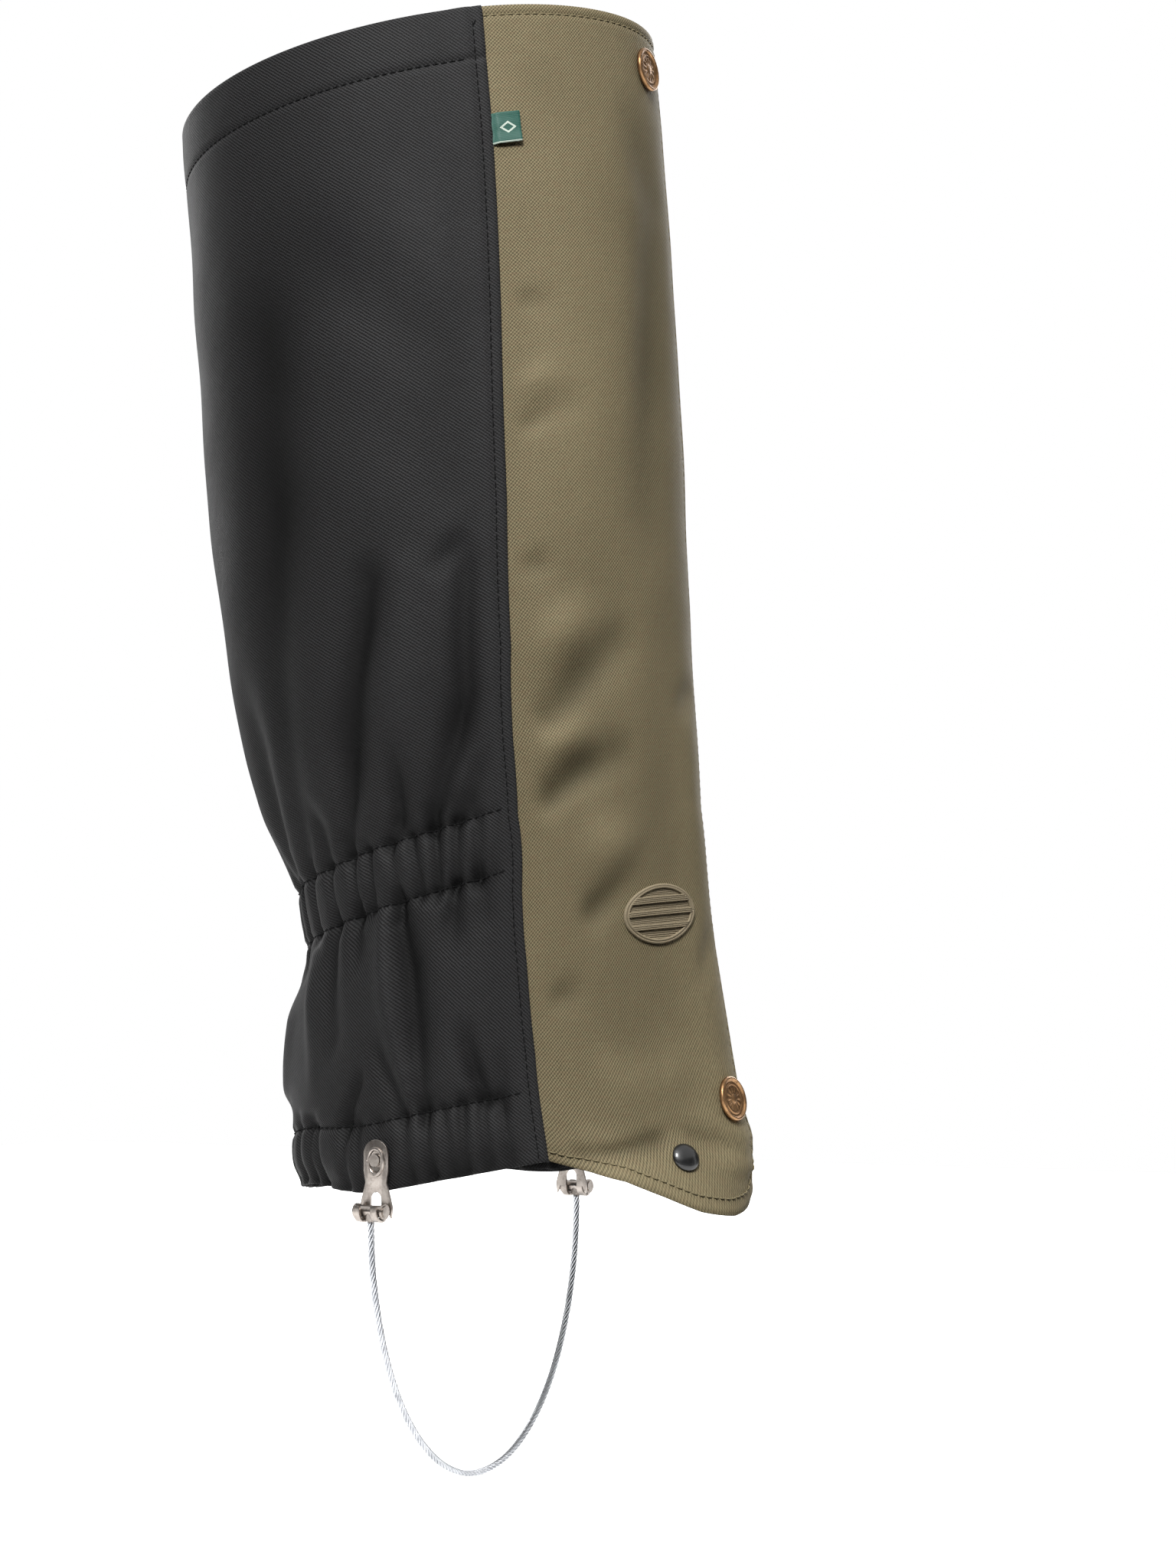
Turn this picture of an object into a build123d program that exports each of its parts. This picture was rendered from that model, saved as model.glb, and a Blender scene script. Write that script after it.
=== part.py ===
from build123d import *
from math import cos, exp, hypot, pi, radians, sin, tan
import os

# One knee-high hiking gaiter, worn on the right leg, in millimetres.
# +Z runs up the leg, the shin faces -Y and the outer side of the leg faces -X.
# The origin is the centre of the ankle elastic, where the gaiter grips the boot shaft.

# ---------------------------------------------------------------- driving dimensions
HEM = -110.0            # height of the lower hem at the leg's axis
RIM = 285.0             # height of the upper rim at the leg's axis
CLOTH = 0.9             # thickness of a single panel of coated cloth
SEWN = 0.3              # space left between layers that are sewn together
ELASTIC_WIDTH = 20.0    # ankle and hem elastic
ELASTIC_THICK = 0.8
TUNNEL = 24.0           # height of the stitched tunnels
RIM_FOLD = 20.0         # turned-in hem at the upper rim
TAPE_THICK = 1.2        # hook tape and loop tape
SNAP_CAP = 15.5         # diameter of the visible snap caps
RIVET_CAP = 10.0        # diameter of the black cap over the lace hook
WIRE = 2.4              # stirrup cable, coated steel wire rope
STIRRUP_DROP = 95.0     # from the cable's bars to the lowest point of its loop

# Sections of the sleeve: height, centre in Y, half depth, half width / half depth
SECTIONS = [
    (-110.0, -2.0, 78.0, 0.80),
    (-78.0, 2.0, 76.0, 0.80),
    (-40.0, 2.0, 74.5, 0.80),
    (0.0, 0.0, 74.0, 0.80),
    (60.0, 13.0, 84.0, 0.82),
    (130.0, 21.0, 88.5, 0.84),
    (210.0, 27.0, 89.5, 0.86),
    (285.0, 34.0, 89.0, 0.88),
]
REAR_TILT = [(-110.0, -0.19), (0.0, -0.27), (285.0, -0.18)]       # dz/dy of a section behind the seams
FRONT_TILT = [(-110.0, 0.47), (-78.0, 0.08), (-40.0, -0.18), (0.0, -0.27), (285.0, -0.18)]
SEAM_ANGLE = [(-110.0, 53.0), (0.0, 56.0), (285.0, 44.0)]         # side seams, degrees from the shin
FLAP_EDGE = [(-110.0, 18.0), (0.0, 18.5), (285.0, 20.5)]          # free edge of the flap
UNDERLAP_EDGE = -16.0
EGG = 0.10              # how much narrower the section is towards the shin
RIDGE = [(-110.0, 12.5), (0.0, 1.2), (285.0, 3.0)]                # the closed front stands off the leg
RIDGE_ANGLE = 16.0
RIDGE_SPREAD = 24.0
CREASE = -84.0          # the tongue kicks out below this height
KICK = 8.0
KICK_ANGLE = -12.0
KICK_SPREAD = 26.0

# layers under the outer face of the closed front
FACING_TOP = -(CLOTH + 0.2)
FACING_THICK = 0.5
HOOK_TAPE_TOP = FACING_TOP - FACING_THICK - 0.2
CLOSED_GAP = 0.5
LOOP_TAPE_TOP = HOOK_TAPE_TOP - TAPE_THICK - CLOSED_GAP
UNDERLAP_TOP = LOOP_TAPE_TOP - TAPE_THICK - SEWN

UPPER_SNAP = (6.5, 268.0)       # angle from the shin, section height
LOWER_SNAP = (9.0, -84.5)
LACE_RIVET = (-12.0, -98.3)
HOOK_Y = 9.0                    # the hook rivets lie on one line across the boot
HOOK_Z = -101.5

os.makedirs("parts", exist_ok=True)


# ---------------------------------------------------------------- the shape of the sleeve
def linear(table, h):
    """Value at height h of a table of (height, value), straight between rows."""
    for (h0, v0), (h1, v1) in zip(table, table[1:]):
        if h <= h1:
            break
    return v0 + (v1 - v0) * (h - h0) / (h1 - h0)


def smooth(column, h):
    """Value of one column of SECTIONS at height h, along a cubic through the rows."""
    rows = [(row[0], row[column]) for row in SECTIONS]
    slopes = []
    for i in range(len(rows)):
        before = rows[max(i - 1, 0)]
        after = rows[min(i + 1, len(rows) - 1)]
        slopes.append((after[1] - before[1]) / (after[0] - before[0]))
    i = 0
    while i < len(rows) - 2 and h > rows[i + 1][0]:
        i += 1
    (h0, v0), (h1, v1) = rows[i], rows[i + 1]
    span = h1 - h0
    t = (h - h0) / span
    start = (2 * t**3 - 3 * t**2 + 1) * v0 + (t**3 - 2 * t**2 + t) * span * slopes[i]
    end = (3 * t**2 - 2 * t**3) * v1 + (t**3 - t**2) * span * slopes[i + 1]
    return start + end


def stand_off(angle, h):
    """How far the closed front and the tongue stand off the plain section."""
    angle = (angle + 180) % 360 - 180
    ridge = linear(RIDGE, h) * exp(-(((angle - RIDGE_ANGLE) / RIDGE_SPREAD) ** 2))
    below = max(0.0, CREASE - h) / (CREASE - HEM)
    return ridge + KICK * below**1.5 * exp(-(((angle - KICK_ANGLE) / KICK_SPREAD) ** 2))


def section_point(angle, h):
    """X and Y of a section's outline, measured from the section's centre."""
    a = radians(angle)
    half_depth = smooth(2, h)
    extra = stand_off(angle, h)
    x = half_depth * smooth(3, h) * sin(a) * (1 - EGG * cos(a)) + extra * sin(a)
    return x, -(half_depth + extra) * cos(a)


def surface(angle, h, offset=0.0):
    """Point of the sleeve at an angle from the shin (negative outwards), section h and offset."""
    x, dy = section_point(angle, h)
    x0, y0 = section_point(angle - 0.5, h)
    x1, y1 = section_point(angle + 0.5, h)
    length = hypot(x1 - x0, y1 - y0)
    x += offset * (y1 - y0) / length
    dy -= offset * (x1 - x0) / length
    seam = linear(SEAM_ANGLE, h)
    z = h + linear(REAR_TILT, h) * dy
    if abs(angle) < seam:
        dy_seam = -smooth(2, h) * cos(radians(seam))
        z = h + linear(REAR_TILT, h) * dy_seam + linear(FRONT_TILT, h) * (dy - dy_seam)
    return Vector(x, smooth(1, h) + dy, z)


def outward(angle, h):
    """Unit normal of the sleeve, pointing away from the leg."""
    along = surface(angle + 1, h) - surface(angle - 1, h)
    up = surface(angle, h + 1) - surface(angle, h - 1)
    return along.cross(up).normalized()


def section_wire(h, start, end, top, thickness, count):
    """Closed outline of one layer in the section plane, from angle start to angle end."""
    angles = [start + (end - start) * i / (count - 1) for i in range(count)]
    outer = [surface(a, h, top(a)) for a in angles]
    inner = [surface(a, h, top(a) - thickness) for a in reversed(angles)]
    edges = [
        Spline(*outer),
        Line(outer[-1], inner[0]),
        Spline(*inner),
        Line(inner[-1], outer[0]),
    ]
    return Wire(edges)


def layer(heights, start, end, top, thickness, count=9):
    """A lofted layer of cloth; start, end are functions of h and top is a function of the angle."""
    wires = [section_wire(h, start(h), end(h), top, thickness, count) for h in heights]
    return Solid.make_loft(wires)


def grid(low, high):
    """The common section heights between low and high, with both ends."""
    return [low] + [h for h in GRID if low + 2 < h < high - 2] + [high]


def constant(value):
    return lambda _: value


def write(shape, name, colour):
    """Label one piece and write it as its own file."""
    shape.label = name
    shape.color = Color(*colour)
    export_step(shape, f"parts/{name}.step")
    return shape


BLACK = (0.13, 0.13, 0.14)
OLIVE = (0.45, 0.41, 0.31)
GREEN = (0.10, 0.45, 0.37)
BRASS = (0.62, 0.45, 0.27)
STEEL = (0.72, 0.72, 0.74)
DARK = (0.05, 0.05, 0.06)

# Heights of the sections that every layer passes through
GRID = [
    -110, -103, -96, -90, -84, -76, -66, -50, -34, -16, 0,
    16, 34, 52, 72, 98, 132, 170, 210, 248, 266, 285,
]
EDGE_GAP = 2.5          # degrees between the rear panel and the parts that swing


def rear_start(h):
    """The rear panel runs from the inner seam round the back to the outer seam."""
    return linear(SEAM_ANGLE, h)


def rear_end(h):
    return 360 - linear(SEAM_ANGLE, h)


# ---------------------------------------------------------------- black rear panel and elastics
def rear_layer(low, high, top, thickness, inset):
    """A layer that follows the rear panel between two heights, its ends inset by some degrees."""
    return layer(
        grid(low, high),
        lambda h: rear_start(h) + inset,
        lambda h: rear_end(h) - inset,
        constant(top),
        thickness,
        25,
    )


def build_rear():
    rear = layer(GRID, rear_start, rear_end, constant(0.0), CLOTH, 25)
    under_panel = -(CLOTH + SEWN)
    under_elastic = under_panel - ELASTIC_THICK - SEWN
    half = ELASTIC_WIDTH / 2
    half_tunnel = TUNNEL / 2
    inset = 4.0
    pieces = [
        (rear, "rear_panel", BLACK),
        (rear_layer(-half, half, under_panel, ELASTIC_THICK, inset), "ankle_elastic", DARK),
        (rear_layer(-half_tunnel, half_tunnel, under_elastic, 0.5, inset), "ankle_elastic_casing", BLACK),
        (rear_layer(HEM + 2, HEM + 2 + ELASTIC_WIDTH, under_panel, ELASTIC_THICK, inset), "hem_elastic", DARK),
        (rear_layer(HEM + 1, HEM + 1 + TUNNEL, under_elastic, 0.5, inset), "hem_facing", BLACK),
        (rear_layer(RIM - RIM_FOLD, RIM - 0.5, under_panel, 0.6, inset), "rim_facing", BLACK),
    ]
    return pieces


def build_seam_bindings():
    """Binding strips that cover the raw edges on the inner face of both side seams."""
    pieces = []
    for side, name in ((1, "inner_seam_binding"), (-1, "outer_seam_binding")):
        strip = layer(
            grid(HEM, RIM - RIM_FOLD - 4),
            lambda h, s=side: s * (linear(SEAM_ANGLE, h) + 1.0),
            lambda h, s=side: s * (linear(SEAM_ANGLE, h) + 2.8),
            constant(-(CLOTH + SEWN)),
            0.5,
            3,
        )
        pieces.append((strip, name, DARK))
    return pieces


# ---------------------------------------------------------------- olive front
UNDERLAP_FREE_EDGE = [(-110.0, -2.0), (-84.0, -4.0), (-56.0, UNDERLAP_EDGE), (285.0, UNDERLAP_EDGE)]
TAPE_ANGLES = (-4.0, 13.0)
TAPE_HEIGHTS = (-58.0, 248.0)
TONGUE_CORNER = 13.0    # radius of the tongue's lower corner


def flap_start(h):
    return EDGE_GAP - linear(SEAM_ANGLE, h)


def flap_end(h):
    return linear(FLAP_EDGE, h)


def underlap_top(angle):
    """The underlap runs low under the flap and rises to the flap's level beyond its edge."""
    rise_start, rise_end = 23.0, 42.0
    t = min(1.0, max(0.0, (angle - rise_start) / (rise_end - rise_start)))
    return UNDERLAP_TOP * (1 - t * t * (3 - 2 * t))


def tongue_corner_cutter():
    """Everything outside the rounded corner at the tongue's free lower edge."""
    corner = surface(flap_end(HEM), HEM)
    r = TONGUE_CORNER
    with BuildSketch(Plane.XZ) as sketch:
        with Locations((corner.X, corner.Z)):
            Rectangle(2 * r, 2 * r)
        with Locations((corner.X - r, corner.Z + r)):
            Circle(r, mode=Mode.SUBTRACT)
        with Locations((corner.X - 2 * r, corner.Z)):
            Rectangle(2 * r, 4 * r, mode=Mode.SUBTRACT)
        with Locations((corner.X, corner.Z + 2 * r)):
            Rectangle(4 * r, 2 * r, mode=Mode.SUBTRACT)
    return extrude(sketch.sketch, amount=200)


def spot(angle, h):
    """A working plane on the sleeve, its Z pointing outwards and its Y up the leg."""
    normal = outward(angle, h)
    along = surface(angle + 1, h) - surface(angle - 1, h)
    return Plane(origin=surface(angle, h), x_dir=along, z_dir=normal)


def disc(plane, radius, low, high):
    """A round solid between two heights above a working plane."""
    body = Cylinder(radius, high - low, align=(Align.CENTER, Align.CENTER, Align.MIN))
    return plane * Pos(0, 0, low) * body


def turned(plane, profile):
    """A solid of revolution about a working plane's Z from (radius, height) corners."""
    outline = make_face(Polyline(*profile, close=True))
    lathe = revolve(Plane.XZ * outline, Axis.Z)
    return plane * lathe


SNAP_SHANK = 2.2
CAP_BASE = 0.35
SOCKET_TOP = -2.25
SOCKET_FLOOR = -2.9
SOCKET_RIM = -4.1
STUD_TOP = -3.1
STUD_FLANGE = -4.4
STUD_BASE = -4.85
POST_TOP = -6.4


def snap_cap(plane):
    """Rimmed cap with a short shank that is closed over the socket."""
    r = SNAP_CAP / 2
    profile = [
        (0, SOCKET_FLOOR + 0.1),
        (SNAP_SHANK, SOCKET_FLOOR + 0.1),
        (SNAP_SHANK, CAP_BASE),
        (r - 0.4, CAP_BASE),
        (r, CAP_BASE + 0.4),
        (r, CAP_BASE + 1.2),
        (r - 0.45, CAP_BASE + 1.65),
        (r - 1.0, CAP_BASE + 1.6),
        (r - 1.5, CAP_BASE + 1.1),
        (0, CAP_BASE + 1.35),
    ]
    return turned(plane, profile)


def snap_socket(plane):
    profile = [
        (SNAP_SHANK + 0.1, SOCKET_TOP),
        (6.0, SOCKET_TOP),
        (6.3, SOCKET_TOP - 0.3),
        (6.3, SOCKET_RIM),
        (4.3, SOCKET_RIM),
        (4.3, SOCKET_FLOOR),
        (SNAP_SHANK + 0.1, SOCKET_FLOOR),
    ]
    return turned(plane, profile)


def snap_stud(plane):
    profile = [
        (0, STUD_BASE),
        (5.2, STUD_BASE),
        (5.2, STUD_FLANGE),
        (2.8, STUD_FLANGE),
        (3.2, STUD_FLANGE + 0.7),
        (2.6, STUD_TOP),
        (0, STUD_TOP),
    ]
    return turned(plane, profile)


def snap_post(plane):
    profile = [
        (0, POST_TOP - 0.7),
        (5.0, POST_TOP - 0.7),
        (5.0, POST_TOP),
        (1.8, POST_TOP),
        (1.8, STUD_BASE),
        (0, STUD_BASE),
    ]
    return turned(plane, profile)


LACE_PLATE_TOP = -1.3
LACE_PLATE = 0.8
LACE_HOOK_GAP = 2.3


def lace_hook(plane):
    """Bent strip behind the tongue: a plate under the rivet that curls inwards and up again."""
    t = LACE_PLATE
    top = LACE_PLATE_TOP
    bend = LACE_HOOK_GAP
    centre = top - t - bend
    with BuildSketch() as side:
        with BuildLine():
            Line((4.5, top), (-4.0, top))
            ThreePointArc((-4.0, top), (-4.0 - bend - t, centre), (-4.0, centre - bend - t))
            Line((-4.0, centre - bend - t), (2.0, centre - bend - t))
            Line((2.0, centre - bend - t), (2.0, centre - bend))
            Line((2.0, centre - bend), (-4.0, centre - bend))
            ThreePointArc((-4.0, centre - bend), (-4.0 - bend, centre), (-4.0, top - t))
            Line((-4.0, top - t), (4.5, top - t))
            Line((4.5, top - t), (4.5, top))
        make_face()
    strip = extrude(Plane.YZ * side.sketch, amount=3.0, both=True)
    return plane * strip - disc(plane, 1.6, top - t - 1, top + 1)


def lace_hook_cap(plane):
    """Domed black cap whose shank holds the lace hook."""
    r = RIVET_CAP / 2
    dome_radius = (r**2 + 1.9**2) / (2 * 1.9)
    dome = Sphere(dome_radius) & Pos(0, 0, dome_radius) * Box(4 * r, 4 * r, 2 * 1.9)
    head = Pos(0, 0, 0.5 + 1.9 - dome_radius) * dome
    rim = Pos(0, 0, 0.15) * Cylinder(r, 0.36, align=(Align.CENTER, Align.CENTER, Align.MIN))
    shank_low = LACE_PLATE_TOP - LACE_PLATE - 0.6
    shank = Pos(0, 0, shank_low) * Cylinder(1.5, 0.3 - shank_low, align=(Align.CENTER, Align.CENTER, Align.MIN))
    return plane * (head + rim + shank)


def build_front():
    upper = spot(*UPPER_SNAP)
    lower = spot(*LOWER_SNAP)
    lace = spot(*LACE_RIVET)
    flap = layer(GRID, flap_start, flap_end, constant(0.0), CLOTH, 15)
    flap = flap - tongue_corner_cutter()
    facing = layer(
        grid(-92.0, RIM - 6),
        constant(-8.0),
        lambda h: flap_end(h) - 1.0,
        constant(FACING_TOP),
        FACING_THICK,
    )
    underlap = layer(
        grid(-98.0, RIM),
        lambda h: linear(UNDERLAP_FREE_EDGE, h),
        lambda h: linear(SEAM_ANGLE, h) - 0.3,
        underlap_top,
        CLOTH,
        19,
    )
    for plane in (upper, lower):
        hole = disc(plane, SNAP_SHANK + 0.1, -4.0, 3.0)
        flap = flap - hole
        facing = facing - hole
        underlap = underlap - disc(plane, 1.9, -9.0, -3.0)
    flap = flap - disc(lace, 1.6, -3.0, 3.0)
    tape_start, tape_end = TAPE_ANGLES
    tapes = [
        layer(grid(*TAPE_HEIGHTS), constant(tape_start), constant(tape_end), constant(top), TAPE_THICK)
        for top in (HOOK_TAPE_TOP, LOOP_TAPE_TOP)
    ]
    pieces = [
        (flap, "front_flap", OLIVE),
        (facing, "flap_facing", DARK),
        (underlap, "underlap_panel", OLIVE),
        (tapes[0], "hook_tape", DARK),
        (tapes[1], "loop_tape", DARK),
        (lace_hook(lace), "lace_hook", STEEL),
        (lace_hook_cap(lace), "lace_hook_cap", DARK),
    ]
    for plane, which in ((upper, "upper"), (lower, "lower")):
        pieces.append((snap_cap(plane), f"{which}_snap_cap", BRASS))
        pieces.append((snap_socket(plane), f"{which}_snap_socket", BRASS))
        pieces.append((snap_stud(plane), f"{which}_snap_stud", BRASS))
        pieces.append((snap_post(plane), f"{which}_snap_post", BRASS))
    return pieces


LABEL_HEIGHTS = (234.5, 245.5)
LABEL_ANGLES = (-44.3, -39.5)
BADGE_HEIGHTS = (-43.0, -26.0)
BADGE_ANGLES = (-26.0, 3.0)


def build_trims():
    """The folded side label and the raised badge, both lying on the flap."""
    label = layer(
        LABEL_HEIGHTS, constant(LABEL_ANGLES[0]), constant(LABEL_ANGLES[1]), constant(1.3), 1.0, 4
    )
    badge = layer(
        BADGE_HEIGHTS, constant(BADGE_ANGLES[0]), constant(BADGE_ANGLES[1]), constant(0.9), 0.6, 9
    )
    return [(label, "side_label", GREEN), (badge, "flap_badge", OLIVE)]


# ---------------------------------------------------------------- stirrup: hook plates, bars, cable
PLATE = 1.0             # sheet thickness of a hook plate
PLATE_X = 63.4          # inner face of a hook plate, from the middle of the boot
HOOK_BEND = 2.8         # inner radius of the curled tines
BAR_DROP = 17.0         # bar axis below the rivet
BAR_CORE = 2.0
BAR_FLANGE = 2.6
BAR_HALF = 6.4
TINE_INNER = 2.3
TINE_OUTER = 4.7
RIVET_SHANK = 1.5
RIVET_CLEARANCE = 0.05
RIVET_GRIP = 4.9        # from a hook plate's inner face to the washer inside the hem
WASHER = 0.6
BAR_X = PLATE_X + PLATE + HOOK_BEND
BAR_Z = HOOK_Z - BAR_DROP

# Corners of the cable's route, one loop from the outer bar under the boot to the inner bar
CABLE_ROUTE = [
    (-67.2, 9.0, -121.9),
    (-67.4, 9.0, -146.0),
    (-50.0, 9.0, -190.0),
    (-18.5, 9.0, -215.5),
    (18.5, 9.0, -215.5),
    (50.0, 9.0, -190.0),
    (67.4, 9.0, -146.0),
    (67.2, 9.0, -121.9),
]


def hook_plate_outline():
    """Flat shape of a hook plate: rounded top, narrow waist, two flared legs round an arched slot."""
    with BuildSketch() as outline:
        with BuildLine():
            Polyline((5, 2), (5, -3.5), (4.3, -7.5), (6.7, -16), (6.2, -19.6), (TINE_OUTER, -16.5))
            Line((TINE_OUTER, -16.5), (-TINE_OUTER, -16.5))
            Polyline((-TINE_OUTER, -16.5), (-6.2, -19.6), (-6.7, -16), (-4.3, -7.5), (-5, -3.5), (-5, 2))
            ThreePointArc((-5, 2), (0, 7), (5, 2))
        make_face()
        with Locations((0, -13)):
            Circle(TINE_INNER, mode=Mode.SUBTRACT)
        with Locations((0, -16)):
            Rectangle(2 * TINE_INNER, 6, mode=Mode.SUBTRACT)
        Circle(RIVET_SHANK + RIVET_CLEARANCE, mode=Mode.SUBTRACT)
    return outline.sketch


def hook_plate():
    """Stamped plate lying on the YZ plane, outer side towards +X, rivet hole at the origin."""
    upright = Plane(origin=(0, 0, 0), x_dir=(0, 1, 0), z_dir=(1, 0, 0))
    plate = upright * extrude(hook_plate_outline(), amount=PLATE)
    ring = SlotOverall(10, 6, rotation=90) - SlotOverall(8.2, 4.6, rotation=90)
    boss = upright * extrude(Pos(0, -0.6, PLATE) * ring, amount=0.7)
    axis_x = PLATE + HOOK_BEND
    axis_z = -BAR_DROP + BAR_CORE - HOOK_BEND + 0.8 + 0.05
    outer_radius = HOOK_BEND + PLATE
    rod = Cylinder(outer_radius, TINE_OUTER - TINE_INNER) - Cylinder(HOOK_BEND, TINE_OUTER)
    curl = rod & Pos(0, -outer_radius, 0) * Box(3 * outer_radius, 2 * outer_radius, 20)
    tip = Pos(axis_x - PLATE / 2, 1.0, 0) * Box(PLATE, 2.0, TINE_OUTER - TINE_INNER)
    stem = Pos(-(axis_x - PLATE / 2), 1.3, 0) * Box(PLATE, 2.6, TINE_OUTER - TINE_INNER)
    tine = Rot(90, 0, 0) * (curl + tip + stem)
    shape = plate + boss
    for side in (-1, 1):
        middle = side * (TINE_INNER + TINE_OUTER) / 2
        shape = shape + Pos(axis_x, middle, axis_z) * tine
    return shape


def cable_bar():
    """Flanged cross-bar with the crimped collar that holds the cable's end, bar axis at the origin."""
    core = Cylinder(BAR_CORE, 2 * BAR_HALF)
    flange = Cylinder(BAR_FLANGE, 0.9)
    bar = core + Pos(0, 0, -5.5) * flange + Pos(0, 0, 5.5) * flange
    collar = Cylinder(1.9, 3.4, align=(Align.CENTER, Align.CENTER, Align.MAX))
    return Rot(90, 0, 0) * bar + collar


def hook_rivet():
    """Rivet through plate and hem: low head outside, peened tail inside; X is outwards."""
    head = Pos(PLATE + 0.1, 0, 0) * (Rot(0, 90, 0) * Cylinder(2.1, 0.9, align=(Align.CENTER, Align.CENTER, Align.MIN)))
    low = -RIVET_GRIP - WASHER
    shank = Rot(0, 90, 0) * Cylinder(RIVET_SHANK, PLATE + 0.2 - low, align=(Align.CENTER, Align.CENTER, Align.MIN))
    tail = Rot(0, 90, 0) * Cylinder(2.4, 0.7, align=(Align.CENTER, Align.CENTER, Align.MIN))
    return head + Pos(low, 0, 0) * shank + Pos(low - 0.7, 0, 0) * tail


def rivet_washer():
    ring = Cylinder(4.2, WASHER, align=(Align.CENTER, Align.CENTER, Align.MIN))
    ring = ring - Cylinder(RIVET_SHANK + RIVET_CLEARANCE, 4 * WASHER)
    return Pos(-RIVET_GRIP - WASHER, 0, 0) * (Rot(0, 90, 0) * ring)


def corner_radii(route):
    """The largest even arc that each corner's two runs allow."""
    points = [Vector(*p) for p in route]
    radii = []
    for a, b, c in zip(points, points[1:], points[2:]):
        into = b - a
        out = c - b
        half_turn = radians(into.get_angle(out)) / 2
        radii.append(0.45 * min(into.length, out.length) / tan(half_turn))
    return radii


def build_cable():
    radii = corner_radii(CABLE_ROUTE)
    print("cable radii", [round(r, 1) for r in radii])
    path = FilletPolyline(*[Vector(*p) for p in CABLE_ROUTE], radius=radii)
    start = Plane(origin=path @ 0, z_dir=path % 0)
    tube = sweep(start * Circle(WIRE / 2), path=path)
    print("cable length", round(path.length, 1), "volume", round(tube.volume, 1))
    print("section x length", round(pi * (WIRE / 2) ** 2 * path.length, 1))
    return tube


def on_outer_side(shape):
    """Turn a piece that faces +X to the outer side of the leg."""
    return Rot(0, 0, 180) * shape


def build_stirrup():
    pieces = []
    shapes = [
        (hook_plate(), PLATE_X, HOOK_Z, "hook_plate", STEEL),
        (cable_bar(), BAR_X, BAR_Z, "cable_bar", STEEL),
        (hook_rivet(), PLATE_X, HOOK_Z, "hook_rivet", STEEL),
        (rivet_washer(), PLATE_X, HOOK_Z, "rivet_washer", STEEL),
    ]
    for shape, x, z, name, colour in shapes:
        pieces.append((Pos(-x, HOOK_Y, z) * on_outer_side(shape), f"outer_{name}", colour))
        pieces.append((Pos(x, HOOK_Y, z) * shape, f"inner_{name}", colour))
    pieces.append((build_cable(), "stirrup_cable", STEEL))
    return pieces


def rivet_holes():
    """Holes through the hem for the two hook rivets."""
    hole = Rot(0, 90, 0) * Cylinder(RIVET_SHANK + 0.1, 4 * PLATE_X)
    return Pos(0, HOOK_Y, HOOK_Z) * hole


def main():
    pieces = []
    hem_layers = ("rear_panel", "hem_elastic", "hem_facing")
    for shape, name, colour in build_rear():
        if name in hem_layers:
            shape = shape - rivet_holes()
        pieces.append((shape, name, colour))
    pieces += build_seam_bindings()
    pieces += build_front()
    pieces += build_trims()
    pieces += build_stirrup()
    for shape, name, colour in pieces:
        write(shape, name, colour)


main()
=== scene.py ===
import math
import random

import bpy
import numpy as np
from mathutils import Matrix, Vector


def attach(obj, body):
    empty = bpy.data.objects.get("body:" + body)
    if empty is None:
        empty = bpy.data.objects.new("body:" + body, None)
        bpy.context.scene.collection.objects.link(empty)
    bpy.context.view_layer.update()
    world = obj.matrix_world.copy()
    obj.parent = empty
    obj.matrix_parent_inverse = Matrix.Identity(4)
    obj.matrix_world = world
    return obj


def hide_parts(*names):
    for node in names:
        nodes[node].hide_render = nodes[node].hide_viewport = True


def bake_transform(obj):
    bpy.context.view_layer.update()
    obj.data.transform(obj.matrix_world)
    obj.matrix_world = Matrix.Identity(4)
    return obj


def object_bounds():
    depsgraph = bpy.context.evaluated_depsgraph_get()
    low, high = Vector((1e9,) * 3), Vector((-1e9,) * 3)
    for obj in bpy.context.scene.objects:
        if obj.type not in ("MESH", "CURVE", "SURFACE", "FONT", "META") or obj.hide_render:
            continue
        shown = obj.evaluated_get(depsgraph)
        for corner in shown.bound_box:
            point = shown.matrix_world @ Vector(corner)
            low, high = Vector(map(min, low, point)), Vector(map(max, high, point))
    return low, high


# A knee-high hiking gaiter for the right leg: black rear panel, olive front flap, wire stirrup.
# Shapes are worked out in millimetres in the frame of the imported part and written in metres.

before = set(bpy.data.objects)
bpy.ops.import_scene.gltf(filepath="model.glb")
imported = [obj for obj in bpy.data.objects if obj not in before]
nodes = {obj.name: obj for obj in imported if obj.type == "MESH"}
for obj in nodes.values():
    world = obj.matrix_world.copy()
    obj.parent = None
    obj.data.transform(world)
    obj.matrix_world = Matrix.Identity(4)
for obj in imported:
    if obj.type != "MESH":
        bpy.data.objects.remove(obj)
cad_low, cad_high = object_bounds()
MM = 0.001
TURN = 2 * math.pi


def table(text):
    """Rows of numbers; commas part the rows."""
    return [tuple(float(v) for v in row.split()) for row in text.split(",")]


# ---- sleeve dimensions, as in the CAD part
HEM = -110.0
RIM = 285.0
CLOTH = 0.9
SEWN = 0.3
ELASTIC_THICK = 0.8
TAPE_THICK = 1.2
# height, centre in Y, half depth, half width / half depth
SECTIONS = np.array(table("""
-110 -2 78 0.8, -78 2 76 0.8, -40 2 74.5 0.8, 0 0 74 0.8, 60 13 84 0.82, 130 21 88.5 0.84, 210 27 89.5 0.86,
285 34 89 0.88
"""))
# tables of height and value: slopes, then angles from the shin
REAR_TILT = table("-110 -0.19, 0 -0.27, 285 -0.18")
FRONT_TILT = table("-110 0.47, -78 0.08, -40 -0.18, 0 -0.27, 285 -0.18")
SEAM_ANGLE = table("-110 53, 0 56, 285 44")
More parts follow.
